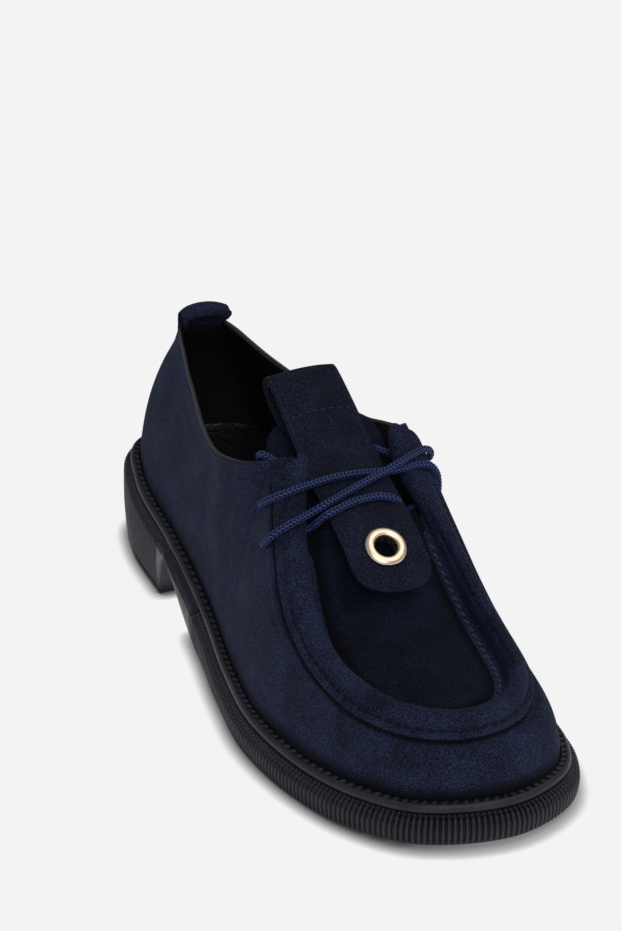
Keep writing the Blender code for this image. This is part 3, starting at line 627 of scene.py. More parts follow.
def newMaterial(name, base, values):
    # Uniform values on the shader's own sockets, and where each point of the object lies
    material = bpy.data.materials.new(name)
    material.use_nodes = True
    tree = material.node_tree
    sockets = tree.nodes["Principled BSDF"].inputs
    sockets["Base Color"].default_value = linear(base)
    for socket, value in values.items():
        sockets[socket].default_value = value
    where = {"Vector": addNode(tree, "ShaderNodeTexCoord").outputs["Object"]}
    return material, tree, sockets, where


def perMetre(millimetres):
    # A noise with scale s has features about 1/s metres across
    return 1000.0 / millimetres


suede = {
    "nap": 0.5,
    "fibre": 0.28,
    "patch": 17.0,
    "napDepth": 0.25,
    "roughness": 0.92,
    "sheenRoughness": 0.5,
}


def napSuede(name, dark, middleTone, light, sheenTint, sheen):
    # Calf suede, split and buffed: matt, with fine lit fibres over darker ones, and
    # patches where the nap was brushed the other way
    material, tree, sockets, where = newMaterial(name, middleTone, {
        "Roughness": suede["roughness"], "Specular IOR Level": 0.15, "Sheen Weight": sheen,
        "Sheen Roughness": suede["sheenRoughness"], "Sheen Tint": linear(sheenTint)})
    patches = addNode(tree, "ShaderNodeTexNoise", values={
        "Scale": perMetre(suede["patch"]), "Detail": 4.0, "Roughness": 0.6, "Distortion": 0.5}, links=where)
    nap = addNode(tree, "ShaderNodeTexNoise", values={
        "Scale": perMetre(suede["nap"]), "Detail": 3.0, "Roughness": 0.75}, links=where)
    fibre = addNode(tree, "ShaderNodeTexNoise", values={
        "Scale": perMetre(suede["fibre"]), "Detail": 1.0, "Roughness": 0.5}, links=where)
    tone = addNode(tree, "ShaderNodeMapRange", values={
        "From Min": 0.3, "From Max": 0.7, "To Min": -0.19, "To Max": 0.23}, links={
        "Value": patches.outputs["Fac"]})
    fine = addNode(tree, "ShaderNodeMapRange", values={"From Min": 0.38, "From Max": 0.62}, links={
        "Value": nap.outputs["Fac"]})
    added = addNode(tree, "ShaderNodeMath", {"operation": "ADD"}, links={
        0: tone.outputs["Result"], 1: fine.outputs["Result"]})
    # Painted shade: the nap is darkened where the suede turns under at the welt, beside the band's raised
    # edge and along the apron's sunk crease, where shade falls
    tuck = addNode(tree, "ShaderNodeAttribute", {"attribute_name": "paintedShade"})
    both = addNode(tree, "ShaderNodeMath", {"operation": "MULTIPLY_ADD"}, {1: -0.9}, {
        0: tuck.outputs["Fac"], 2: added.outputs["Value"]})
    addNode(tree, "ShaderNodeValToRGB", links={"Fac": both.outputs["Value"]}, feeds={
        "Color": sockets["Base Color"]}, stops=((0.0, dark), (0.5, middleTone), (1.0, light)))
    heights = addNode(tree, "ShaderNodeMath", {"operation": "MULTIPLY_ADD"}, {1: 0.5}, {
        0: fibre.outputs["Fac"], 2: nap.outputs["Fac"]})
    addNode(tree, "ShaderNodeBump", values={"Strength": 0.9, "Distance": suede["napDepth"] * mm}, links={
        "Height": heights.outputs["Value"]}, feeds={"Normal": sockets["Normal"]})
    return material


def cutSuede(name, base, pale):
    # The raw cut edge of suede: paler, with loose grey fibre ends
    material, tree, sockets, where = newMaterial(name, base, {"Roughness": 0.95, "Specular IOR Level": 0.12})
    fibre = addNode(tree, "ShaderNodeTexNoise", values={"Scale": perMetre(0.5), "Detail": 3.0}, links=where)
    addNode(tree, "ShaderNodeValToRGB", links={"Fac": fibre.outputs["Fac"]}, feeds={
        "Color": sockets["Base Color"]}, stops=((0.3, base), (0.7, pale)))
    addNode(tree, "ShaderNodeBump", values={"Strength": 0.6, "Distance": 0.2 * mm}, links={
        "Height": fibre.outputs["Fac"]}, feeds={"Normal": sockets["Normal"]})
    return material


def mouldedRubber(name, base, pale, roughness, grain):
    # Expanded rubber from a mould: dark grey, a soft satin that lights up on every shoulder
    material, tree, sockets, where = newMaterial(name, base, {
        "Roughness": roughness, "IOR": 1.52, "Specular IOR Level": 0.24})
    cloud = addNode(tree, "ShaderNodeTexNoise", values={"Scale": perMetre(9.0), "Detail": 4.0}, links=where)
    ramp = addNode(tree, "ShaderNodeValToRGB", links={"Fac": cloud.outputs["Fac"]}, stops=(
        (0.3, base), (0.75, pale)))
    # Painted shade down between the ribs, deeper where the gap is deeper
    gaps = addNode(tree, "ShaderNodeAttribute", {"attribute_name": "gapDepth"})
    keep = addNode(tree, "ShaderNodeMapRange", values={"To Min": 1.0, "To Max": 0.08}, links={
        "Value": gaps.outputs["Fac"]})
    addNode(tree, "ShaderNodeVectorMath", {"operation": "SCALE"}, links={
        0: ramp.outputs["Color"], "Scale": keep.outputs["Result"]}, feeds={"Vector": sockets["Base Color"]})
    skin = addNode(tree, "ShaderNodeTexNoise", values={"Scale": perMetre(grain), "Detail": 2.0}, links=where)
    addNode(tree, "ShaderNodeMapRange", values={
        "From Min": 0.3, "From Max": 0.7, "To Min": roughness - 0.06, "To Max": roughness + 0.08}, links={
        "Value": skin.outputs["Fac"]}, feeds={"Result": sockets["Roughness"]})
    addNode(tree, "ShaderNodeBump", values={"Strength": 0.35, "Distance": 0.06 * mm}, links={
        "Height": skin.outputs["Fac"]}, feeds={"Normal": sockets["Normal"]})
    return material


def pigmentedLeather(name, base, pale, roughness, crinkle, depth):
    # Thin pigmented leather: near black, its folds drawn by a weak shine
    material, tree, sockets, where = newMaterial(name, base, {"Roughness": roughness})
    folds = addNode(tree, "ShaderNodeTexVoronoi", {"feature": "DISTANCE_TO_EDGE"}, {
        "Scale": perMetre(crinkle)}, where)
    pores = addNode(tree, "ShaderNodeTexNoise", values={
        "Scale": perMetre(1.1), "Detail": 4.0, "Roughness": 0.6}, links=where)
    both = addNode(tree, "ShaderNodeMath", {"operation": "MULTIPLY_ADD"}, {1: 0.7}, {
        0: pores.outputs["Fac"], 2: folds.outputs["Distance"]})
    addNode(tree, "ShaderNodeBump", values={"Strength": 0.8, "Distance": depth * mm}, links={
        "Height": both.outputs["Value"]}, feeds={"Normal": sockets["Normal"]})
    addNode(tree, "ShaderNodeValToRGB", links={"Fac": pores.outputs["Fac"]}, feeds={
        "Color": sockets["Base Color"]}, stops=((0.35, base), (0.7, pale)))
    return material


def polishedGold(name, base, roughness):
    # Brass, gold plated and polished: pale yellow, with hair-fine handling marks
    material, tree, sockets, where = newMaterial(name, base, {"Roughness": roughness, "Metallic": 1.0})
    marks = addNode(tree, "ShaderNodeTexNoise", values={"Scale": perMetre(1.5), "Detail": 5.0}, links=where)
    addNode(tree, "ShaderNodeMapRange", values={
        "From Min": 0.35, "From Max": 0.7, "To Min": roughness - 0.04, "To Max": roughness + 0.07}, links={
        "Value": marks.outputs["Fac"]}, feeds={"Result": sockets["Roughness"]})
    return material


def polyesterYarn(name, dark, light, sheen):
    # Braided polyester: a painted highlight on the crowns of the yarns and painted shade between them
    material, tree, sockets, where = newMaterial(name, light, {
        "Roughness": 0.6, "Specular IOR Level": 0.2, "Sheen Weight": sheen, "Sheen Roughness": 0.35,
        "Sheen Tint": linear("#7C90D8")})
    crown = addNode(tree, "ShaderNodeAttribute", {"attribute_name": "yarnShading"})
    strands = addNode(tree, "ShaderNodeTexNoise", values={"Scale": perMetre(0.5), "Detail": 2.0}, links=where)
    both = addNode(tree, "ShaderNodeMath", {"operation": "MULTIPLY_ADD"}, {1: 0.15}, {
        0: strands.outputs["Fac"], 2: crown.outputs["Fac"]})
    addNode(tree, "ShaderNodeValToRGB", links={"Fac": both.outputs["Value"]}, feeds={
        "Color": sockets["Base Color"]}, stops=((0.46, dark), (1.0, light)))
    return material


def sewingThread(name, base):
    # Twisted polyester thread: a soft satin, finely ridged by its twist
    material, tree, sockets, where = newMaterial(name, base, {"Roughness": 0.6, "Specular IOR Level": 0.2})
    twist = addNode(tree, "ShaderNodeTexNoise", values={"Scale": perMetre(0.4), "Detail": 1.0}, links=where)
    addNode(tree, "ShaderNodeBump", values={"Strength": 0.5, "Distance": 0.08 * mm}, links={
        "Height": twist.outputs["Fac"]}, feeds={"Normal": sockets["Normal"]})
    return material


quarterSuede = napSuede("brushedNavySuede", "#06080F", "#14182A", "#2D3655", "#7E93C2", 0.06)
# The apron's suede is darker: partly its nap lying another way, partly painted shade where the apron lies
# sunk inside the band; the tongue wears it too
apronSuede = napSuede("sunkNavySuede", "#030409", "#090C18", "#1A2038", "#6472B0", 0.03)
strapSuede = napSuede("crispNavySuede", "#05070E", "#0E111D", "#232A40", "#7086B4", 0.05)
rawEdge = cutSuede("paleCutEdge", "#292A32", "#5C5B58")
# Near black: the cut edges' own dark colour, deepened as painted shade so the band's cut edge draws a dark
# line
darkEdge = cutSuede("darkEdgeWithPaintedShade", "#05060B", "#141722")
soleRubber = mouldedRubber("mouldedSoleRubber", "#1A1A25", "#262634", 0.38, 0.6)
weltRubber = mouldedRubber("smoothWeltRubber", "#202027", "#2B2B34", 0.42, 0.8)
liftRubber = mouldedRubber("denseLiftRubber", "#1C1C22", "#28282F", 0.45, 0.5)
liningLeather = pigmentedLeather("blackLiningLeather", "#020205", "#06060B", 0.55, 2.5, 0.3)
insoleLeather = pigmentedLeather("crinkledSockLeather", "#08080B", "#17181C", 0.3, 4.0, 0.9)
goldPlate = polishedGold("goldPlatedBrass", "#F6E2C6", 0.28)
laceYarn = polyesterYarn("braidedNavyPolyester", "#010208", "#384984", 0.02)
navyThread = sewingThread("navySewingThread", "#1E2A50")
# The band's thread: its own dark navy, deepened as painted shade in the sunk stitch holes
bandThread = sewingThread("darkSewingThread", "#060810")
tuftThread = sewingThread("slateWaxedThread", "#353D58")
print("materials made")


# Sole unit

def arcRing(side, arcs, inset):
    # Points along one side by their distance from the heel, moved square to the edge
    length = lengthOf(side)
    reach = 0.8
    run = unit(alongLine(side, length, arcs + reach) - alongLine(side, length, arcs - reach))
    turn = 1.0 if side is lateralSide else -1.0
    normal = np.stack([run[:, 1], -run[:, 0]], axis=1) * turn
    tip = (arcs < sameSpot) | (arcs > length[-1] - sameSpot)
    normal[tip, 0] = 0.0
    return alongLine(side, length, arcs) + unit(normal) * inset


def fullRing(nearArcs, farArcs, inset):
    return bothSides(arcRing(lateralSide, nearArcs, inset), arcRing(medialSide, farArcs, inset))


ribs = {
    "pitch": 2.0,
    "depth": 0.85,
    "heelEnd": shoe["breastStation"] + shoe["breastLean"] * (shoe["liftHeight"] + shoe["gap"]),
    "foreStart": 113.0,
    "plainStep": 1.6,
    "recess": 1.2,
    "recessRun": 5.0,
    "mostRise": 0.3,
}
# One rib and its gap: share of the pitch, and how deep in the gap
ribShape = (
    (0.0, 1.0), (0.1, 0.94), (0.19, 0.45), (0.3, 0.1), (0.5, 0.0), (0.7, 0.1), (0.81, 0.45), (0.9, 0.94),
)
# The rim of the recessed tread: inset, and 1 where it is sunk
treadRim = ((4.6, 1.0), (4.0, 1.0), (3.7, 0.0))
# Wall of the sole from bottom to top: inset, share of the height, rise above that share
soleWall = (
    ("place", "inset", "share", "rise"),
    (0.0, 1.6, 0.0, 0.0),
    (1.0, 0.7, 0.0, 0.7),
    (2.0, 0.1, 0.35, 0.0),
    (3.0, 0.0, 0.5, 0.0),
    (4.0, 0.5, 1.0, -2.7),
    (5.0, 1.6, 1.0, -1.1),
    (6.0, 3.4, 1.0, -0.4),
    (7.0, 3.5, 1.0, 0.0),
)
soleRows = (
    0.0, 0.15, 0.35, 0.6, 1.0, 1.5, 2.0, 2.5, 3.0, 3.4, 3.7, 3.9, 4.1, 4.3, 4.5, 4.7, 4.9, 5.1, 5.35, 5.6,
    5.8, 6.0, 7.0,
)
# How much of their depth the gaps have up the wall: they run out at its foot and under its top
gapShare = ((0.3, 0.9, 5.9, 6.5), (0.0, 1.0, 1.0, 0.0))


def soleColumns():
    # Distances from the heel along each side, and how deep in a gap each one lies
    sides = []
    zones = ((0.0, ribs["heelEnd"], True), (ribs["heelEnd"], shoe["archStart"], False),
             (shoe["archStart"], ribs["foreStart"], False), (ribs["foreStart"], shoe["soleLength"], True))
    offsets, depths = np.array(ribShape).T
    for side in (lateralSide, medialSide):
        length = lengthOf(side)
        arcs, grooves = [], []
        for start, end, ribbed in zones:
            first, last = np.interp([start, end], side[:, 1], length)
            if end == shoe["soleLength"]:
                last = length[-1]
            # Both sides have as many ribs as the lateral one has room for
            room = np.interp([start, end], lateralSide[:, 1], lengthOf(lateralSide))
            count = int(round((room[1] - room[0]) / ribs["pitch" if ribbed else "plainStep"]))
            where = (np.arange(count)[:, None] + (offsets if ribbed else 0.0)).ravel() / count
            arcs.append(first + (last - first) * where)
            grooves.append(np.tile(depths, count) if ribbed else np.zeros(count))
        sides.append((np.append(np.concatenate(arcs), length[-1]), np.append(np.concatenate(grooves), 1.0)))
    return sides


def makeOutsole():
    (nearArcs, nearGroove), (farArcs, farGroove) = soleColumns()
    groove = bothSides(nearGroove, farGroove)
    edge = fullRing(nearArcs, farArcs, 0.0)
    low = footHeight(edge[:, 1])
    recess = ribs["recess"] * np.clip((edge[:, 1] - shoe["archEnd"]) / ribs["recessRun"], 0.0, 1.0)
    rings = []
    for inset, sunk in treadRim:
        rings.append(np.column_stack([fullRing(nearArcs, farArcs, inset), low + recess * sunk]))
    for q in soleRows:
        inset, share, rise = (float(readTable(soleWall, name, q)) for name in ("inset", "share", "rise"))
        ring = fullRing(nearArcs, farArcs, inset)
        depth = readTable(soleTop, "height", ring[:, 1]) - low
        limit = depth * ribs["mostRise"]
        rings.append(np.column_stack([ring, low + depth * share + np.clip(rise, -limit, limit)]))
    grid = np.array(rings)
    weight = np.zeros(len(grid))
    weight[len(treadRim):] = np.interp(soleRows, *gapShare)
    gapDepth = groove[None, :] * weight[:, None]
    grid -= gridNormals(grid) * (ribs["depth"] * gapDepth)[:, :, None]
    rows, length = grid.shape[:2]
    faces = gridQuads(rows, length, wrapColumns=True)
    faces += strips(length, 0) + strips(length, (rows - 1) * length)
    # The gaps' depth goes with the mesh as a mark, from which the rubber paints shade into the gaps
    sole = makePiece(
        "ribbedOutsole", grid, faces, [soleRubber], sharp=70.0, marks=("gapDepth", gapDepth))
    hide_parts("outsole")


treadBars = {
    "width": 3.4,
    "pitch": 5.6,
    "wave": 5.5,
    "columns": 25,
    "forefoot": {"start": 124.0, "end": 253.0, "inset": 5.6, "depth": 1.4},
    "lift": {"start": 10.0, "end": 64.0, "inset": 5.0, "depth": 1.0},
}


def crossBars(name, zone, material):
    # Shallow waved bars across the tread, each a bevelled strip of the same rubber
    points, faces = [], []
    top, inset = zone["depth"], zone["inset"]
    section = ((-0.5, top), (-0.5, 0.3), (-0.4, 0.0), (0.4, 0.0), (0.5, 0.3), (0.5, top))
    rows, columns = len(section), treadBars["columns"]
    for station in np.arange(zone["start"], zone["end"], treadBars["pitch"]):
        near, far = (sideRing(side, np.array([station]), inset)[0, 0] for side in (lateralSide, medialSide))
        across = np.linspace(near, far, columns)
        middles = station + np.sin(across / treadBars["wave"])
        floor = np.where(middles > shoe["archStart"], footHeight(middles), 0.0)
        first = len(points)
        for share, rise in section:
            points += np.column_stack([across, middles + share * treadBars["width"], floor + rise]).tolist()
        faces += [[first + k for k in face] for face in gridQuads(rows, columns, wrapRows=True)]
        faces += [[first + r * columns + c for r in range(rows)] for c in (0, columns - 1)]
    makePiece(name, points, faces, [material])


heelLift = {
    "columns": 90,
    "inset": 0.8,
    "breastGap": 1.2,
}
# The lift's section from its underside up: inset and height
liftSection = (
    (4.2, 0.8), (3.8, 0.8), (3.5, 0.0), (1.9, 0.0), (1.35, 0.12), (1.0, 0.4), (0.85, 0.8), (0.8, 1.4),
    (0.95, shoe["liftHeight"]),
)


def makeLift():
    stations = sideStations(heelLift["columns"])
    stations = stations[stations < shoe["breastStation"] - heelLift["breastGap"]]
    rings = []
    for inset, height in liftSection:
        front = shoe["breastStation"] + shoe["breastLean"] * height - max(0.0, inset - heelLift["inset"])
        reach = np.append(stations, front)
        count = len(reach)
        # The toe's own point is left out, so the ring closes straight across the breast
        ring = np.delete(planRing(np.append(reach, shoe["soleLength"]), inset), count, axis=0)
        ring[count - 1:count + 1, 1] = front
        rings.append(np.column_stack([ring, np.full(len(ring), height)]))
    grid = np.array(rings)
    rows, length = grid.shape[:2]
    faces = gridQuads(rows, length, wrapColumns=True) + ends(rows, length)
    piece = makePiece("heelTopLift", grid, faces, [liftRubber], sharp=55.0)
    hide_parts("heel_lift")


welt = {
    "columns": 300,
    "rows": 44,
    "lugPitch": 3.79,
    "lugWidth": 2.0,
    "lugOuter": 4.8,
    "lugInner": 6.95,
    "lugSlant": 1.0,
}
# The welt's section, from under the suede out and over to the channel along the suede
weltSection = (
    (6.9, 0.3), (4.4, 0.3), (3.75, 0.45), (3.4, 0.9), (3.3, 1.5), (3.38, 2.1), (3.65, 2.7), (4.05, 3.15),
    (4.5, 3.38), (4.9, 3.42), (5.05, 3.25), (5.12, 2.6), (5.2, 1.5), (5.6, 1.2), (6.4, 1.25), (6.75, 1.6),
    (6.8, 2.4), (6.9, 2.9),
)
# A lug from its outer end to its inner one as share, top and width, then its section
lugRun = (
    (0.0, 3.25, 0.9), (0.12, 3.4, 1.0), (0.4, 3.5, 1.0), (0.75, 3.62, 1.0), (0.92, 3.6, 0.9),
    (1.0, 3.35, 0.7),
)
lugSection = ((-0.5, -1.9), (-0.5, -0.35), (-0.4, -0.08), (0.0, 0.0), (0.4, -0.08), (0.5, -0.35), (0.5, -1.9))


def makeLugs():
    # Moulded lugs that bridge the channel, each leaning forward as it runs in
    points, faces = [], []
    rows, columns = len(lugRun), len(lugSection)
    one = gridQuads(rows, columns, wrapColumns=True) + ends(rows, columns)
    for side in (lateralSide, medialSide):
        length = lengthOf(side)[-1]
        count = int(round(length / welt["lugPitch"]))
        middles = (np.arange(count) + 0.5) * length / count
        grid = []
        for share, top, width in lugRun:
            inset = welt["lugOuter"] + (welt["lugInner"] - welt["lugOuter"]) * share
            for across, drop in lugSection:
                along = across * width * welt["lugWidth"] + (share - 0.5) * welt["lugSlant"]
                grid.append(overSole(arcRing(side, middles + along, inset), top + drop))
        for lug in np.array(grid).transpose(1, 0, 2):
            first = len(points)
            points += lug.tolist()
            faces += [[first + k for k in face] for face in one]
    makePiece("weltLugs", points, faces, [weltRubber], sharp=60.0)


def makeWelt():
    nearLength, farLength = (lengthOf(side)[-1] for side in (lateralSide, medialSide))
    shares = np.linspace(0, 1, welt["columns"] + 1)
    grid = np.array([
        overSole(fullRing(shares * nearLength, shares * farLength, inset), rise)
        for inset, rise in refine(weltSection, welt["rows"])])
    faces = gridQuads(*grid.shape[:2], wrapColumns=True, wrapRows=True)
    rand = makePiece("mouldedWelt", grid, faces, [weltRubber], sharp=75.0)
    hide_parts("welt")


makeOutsole()
crossBars("forefootTread", treadBars["forefoot"], soleRubber)
makeLift()
crossBars("liftTread", treadBars["lift"], liftRubber)
makeWelt()
makeLugs()
print("sole unit made")


# Upper

insideShoe = (0.0, 150.0, 35.0)  # open sheets are turned to face away from one of these
underShoe = (0.0, 165.0, -300.0)
upper = {
    "sideCount": 190,
    "closeFrom": 143.0,
    "closeTo": 183.0,
    "closeStep": 1.25,
    "leastStep": 0.35,
    "rows": 56,
    "suedeThick": 0.95,
    "liningThick": 0.85,
    "liningGap": 0.05,
    "liningStart": 0.4,
    "liningEnd": 0.35,
    "edgeRadius": 0.3,
    "weltShadeFrom": 3.6,
    "weltShadeReach": 6.0,
    "edgeShade": 1.5,
    "edgeShadeFrom": 152.0,
    "holeRadius": 2.1,
    "holeSides": 24,
    "drill": 10.0,
}
# Stations up one side, closer together round the facing
facingStations = np.arange(upper["closeFrom"], upper["closeTo"], upper["closeStep"])
upperStations = sideStations(upper["sideCount"], facingStations)
upperStations = upperStations[np.append(True, np.diff(upperStations) > upper["leastStep"])]
upperStations[-1] = shoe["soleLength"]
allStations = bothSides(upperStations, upperStations)
controlRings = upperRings(upperStations)
ringGaps = np.linalg.norm(np.diff(controlRings, axis=0), axis=2).mean(axis=1)
ringKnots = np.concatenate([[0.0], np.cumsum(ringGaps)])
ringTangents = np.gradient(controlRings, ringKnots, axis=0)
ringNormals = gridNormals(controlRings)
bandFirst = ringKnots[1 + len(wallLevels)]
sideColumns = len(upperStations) - 1


def upperFace(places):
    return cubicBetween(ringKnots, controlRings, ringTangents, places)


# Where the suede has been pulled in at the lace holes and has settled into soft folds
handCreases = (
    ((-31.0, 152.4, 76.4), (-31.2, 153.0, 75.6), 4.0, -0.9),
    ((-36.0, 162.6, 65.8), (-36.2, 163.2, 65.0), 4.0, -0.9),
    ((32.0, 149.2, 79.6), (32.2, 149.8, 78.8), 4.0, -0.9),
    ((36.0, 158.0, 66.6), (36.2, 158.6, 65.8), 4.0, -0.9),
    ((-34.0, 144.0, 74.0), (-38.0, 128.0, 60.0), 5.0, -0.5),
    ((-37.0, 156.0, 62.0), (-42.0, 146.0, 45.0), 6.0, -0.5),
    ((-38.0, 110.0, 66.0), (-41.0, 104.0, 40.0), 7.0, -0.6),
    ((-34.0, 82.0, 66.0), (-38.0, 86.0, 42.0), 8.0, 0.5),
    ((-46.0, 182.0, 40.0), (-44.0, 200.0, 38.0), 7.0, -0.5),
    ((-42.0, 196.0, 37.0), (-49.0, 186.0, 24.0), 6.0, 0.4),
    ((-30.0, 245.0, 28.0), (-38.0, 226.0, 28.0), 7.0, -0.4),
    ((-8.0, 264.0, 27.0), (14.0, 265.0, 27.0), 6.0, -0.3),
    ((34.0, 144.0, 74.0), (37.0, 128.0, 60.0), 5.0, -0.5),
    ((38.0, 108.0, 62.0), (36.0, 104.0, 40.0), 7.0, -0.5),
    ((42.0, 186.0, 40.0), (42.0, 202.0, 34.0), 6.0, -0.5),
)
laceHoles = ((-31.0, 152.4, 76.4), (-34.5, 162.6, 65.8), (32.0, 149.2, 79.6), (34.5, 158.0, 66.6))


def settledFace(places):
    face = upperFace(places)
    return pressCreases(face, gridNormals(face), handCreases)


def spotsOf(piece):
    spots = np.empty(len(piece.data.vertices) * 3)
    piece.data.vertices.foreach_get("co", spots)
    return spots.reshape(-1, 3)


def nearLine(piece, line, reach):
    # 1 on the line, falling to 0 at the reach
    marks = place(line)
    tree = kdtree.KDTree(len(marks))
    for number, mark in enumerate(marks):
        tree.insert(mark, number)
    tree.balance()
    away = np.array([tree.find(spot)[2] for spot in spotsOf(piece)])
    return np.clip(1 - away / (reach * mm), 0.0, 1.0)


def writePaintedShade(piece, amount):
    # Painted shade, one value for each point, which the suede's colour reads
    shelter = piece.data.attributes.new("paintedShade", "FLOAT", "POINT")
    shelter.data.foreach_set("value", amount.astype(np.float32))


def makeUpper():
    # A few rows more beside the band, where shade is painted on the suede
    besideBand = bandFirst - np.array([0.0, 0.04, 0.08, 0.13])
    face = settledFace(np.sort(np.append(np.linspace(0.0, ringKnots[-1], upper["rows"]), besideBand)))
    faces = gridQuads(*face.shape[:2], wrapColumns=True)
    quarters = makePiece("suedeUpper", face, faces, [quarterSuede, rawEdge], insideShoe)
    thicken(quarters, upper["suedeThick"], upper["edgeRadius"])
    across = Matrix.Rotation(math.pi / 2, 4, "Y")
    frames = [Matrix.Translation(Vector(place(hole))) @ across for hole in laceHoles]
    radius, drill, sides = upper["holeRadius"], upper["drill"], upper["holeSides"]
    punch([quarters], "laceHoles", frames, radius, drill, sides, foldedOver=True)
    bandFoot = settledFace(bandFirst + np.array([0.0, 0.1]))[0]
    # Painted shade: darker beside the band's cut edge, and low on the wall where the suede turns under to the
    # welt
    beside = nearLine(quarters, bandFoot[allStations > upper["edgeShadeFrom"]], upper["edgeShade"])
    spots = spotsOf(quarters) / mm
    weltTop = readTable(soleTop, "height", middle[1] - spots[:, 1]) + upper["weltShadeFrom"]
    weltShade = np.clip(1 - (spots[:, 2] - weltTop) / upper["weltShadeReach"], 0.0, 1.0) ** 1.5
    writePaintedShade(quarters, np.maximum(weltShade, beside))
    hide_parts("upper")


def makeLining():
    face = upperFace(np.linspace(upper["liningStart"], ringKnots[-1] - upper["liningEnd"], upper["rows"]))
    face = face - gridNormals(face) * (upper["suedeThick"] + upper["liningGap"])
    faces = gridQuads(*face.shape[:2], wrapColumns=True)
    lining = makePiece("leatherLining", face, faces, [liningLeather] * 2, insideShoe)
    thicken(lining, upper["liningThick"], 0.2)
    settle(lining)


makeUpper()
makeLining()
print("upper and lining made")


# Apron and its rolled band

apron = {
    "creaseInset": 6.0,
    "tuck": 3.2,
    "skirtDrop": 0.35,
    "flangeFrom": 2.05,
    "lateralTrim": 0.55,
    "trimColumns": 14.0,
    "edgeShade": 4.5,
    "lap": 3,
    "columns": 41,
    "thick": 1.6,
}
throatIndex = int(np.argmin(abs(upperStations - shoe["throat"])))


def lipFrame(rim):
    # Along the rim, and square to it towards the opening
    run = unit(np.roll(rim, -1, axis=0) - np.roll(rim, 1, axis=0))
    return run, unit(np.stack([run[:, 1], -run[:, 0], np.zeros(len(rim))], axis=1))


def flangeReach(order, inset):
    # The sewn flange is narrower on the lateral side, where the lip overhangs it
    lateral = np.clip((sideColumns - order) / apron["trimColumns"], 0.0, 1.0)
    fixed = np.minimum(inset, apron["flangeFrom"])
    return (fixed + (inset - fixed) * (1 - apron["lateralTrim"] * lateral))[:, None]


def makeApron():
    rim = controlRings[-1]
    inward = lipFrame(rim)[1]
    order = np.arange(throatIndex - apron["lap"], 2 * sideColumns - throatIndex + apron["lap"] + 1)
    drop = readRound(upperForm, "creaseDrop", allStations[order])
    crowns = readRound(upperForm, "crown", allStations[order])
    reach = flangeReach(order, apron["creaseInset"])
    crease = rim[order] + inward[order] * reach
    crease[:, 2] -= drop
    skirt = rim[order] + inward[order] * (reach - apron["tuck"])
    skirt[:, 2] -= drop + apron["skirtDrop"]
    # Crowned lines straight across from crease to crease, closed by a fan at the toe
    half = (len(order) - 1) // 2
    shares = (1 - np.cos(np.linspace(0, math.pi, apron["columns"]))) / 2
    rows = []
    for i in range(half):
        line = crease[i] + (crease[-1 - i] - crease[i]) * shares[:, None]
        line[:, 2] += crowns[i] * (1 - (2 * shares - 1) ** 2)
        rows.append(np.concatenate([[skirt[i]], line, [skirt[-1 - i]]]))
    width = len(rows[0])
    points = np.concatenate(rows + [crease[half:half + 1], skirt[half:half + 1]])
    faces = gridQuads(half, width)
    last, tip, tipSkirt = (half - 1) * width, half * width, half * width + 1
    faces += [[last + i, last + i + 1, tip] for i in range(1, width - 2)]
    faces += [[last, last + 1, tip, tipSkirt], [last + width - 2, last + width - 1, tipSkirt, tip]]
    plug = makePiece("suedeApron", points, faces, [apronSuede, darkEdge], underShoe, 80.0)
    thicken(plug, apron["thick"], 0.0)
    settle(plug, 80.0)
    # Painted shade along the crease, where the apron sinks under the lip of the band
    writePaintedShade(plug, nearLine(plug, evenly(refine(crease, 600), 0.6), apron["edgeShade"]))


band = {
    "start": 153.0,
    "foldStart": shoe["throat"] - 6.0,
    "foldRun": 16.0,
    "grooveStart": 160.0,
    "grooveRun": 30.0,
    "outerRows": 31,
    "normalRows": 47,
    "innerRows": 84,
    "underRows": (-1, 20, 8),
    "underRise": 0.05,
    "stitchLevel": 0.27,
    "stitchFrom": 196.0,
    "stitch": {"pitch": 3.6, "length": 2.7, "thread": 0.75, "lift": -0.05, "slot": "upper_suede"},
    "flangeStitchInset": 4.5,
    "flangeStitchRise": 0.85,
    "flangeStitch": {
        "pitch": 3.3, "length": 2.4, "thread": 0.95, "slant": 0.5, "lift": -0.2, "slot": "upper_suede"},
}
# How high the band stands over the upper, from its cut edge (0) to the lip (1)
bandOuter = (
    ("level", "height", "facing"),
    (0.0, 0.1, 0.1),
    (0.008, 0.7, 0.7),
    (0.03, 1.15, 1.15),
    (0.07, 1.35, 1.35),
    (0.13, 1.35, 1.45),
    (0.2, 1.1, 1.55),
    (0.25, 0.68, 1.65),
    (0.275, 0.55, 1.7),
    (0.31, 0.75, 1.75),
    (0.4, 1.6, 1.9),
    (0.52, 2.4, 2.1),
    (0.66, 2.95, 2.25),
    (0.78, 3.05, 2.3),
    (0.9, 2.8, 2.1),
    (1.0, 2.15, 1.7),
)
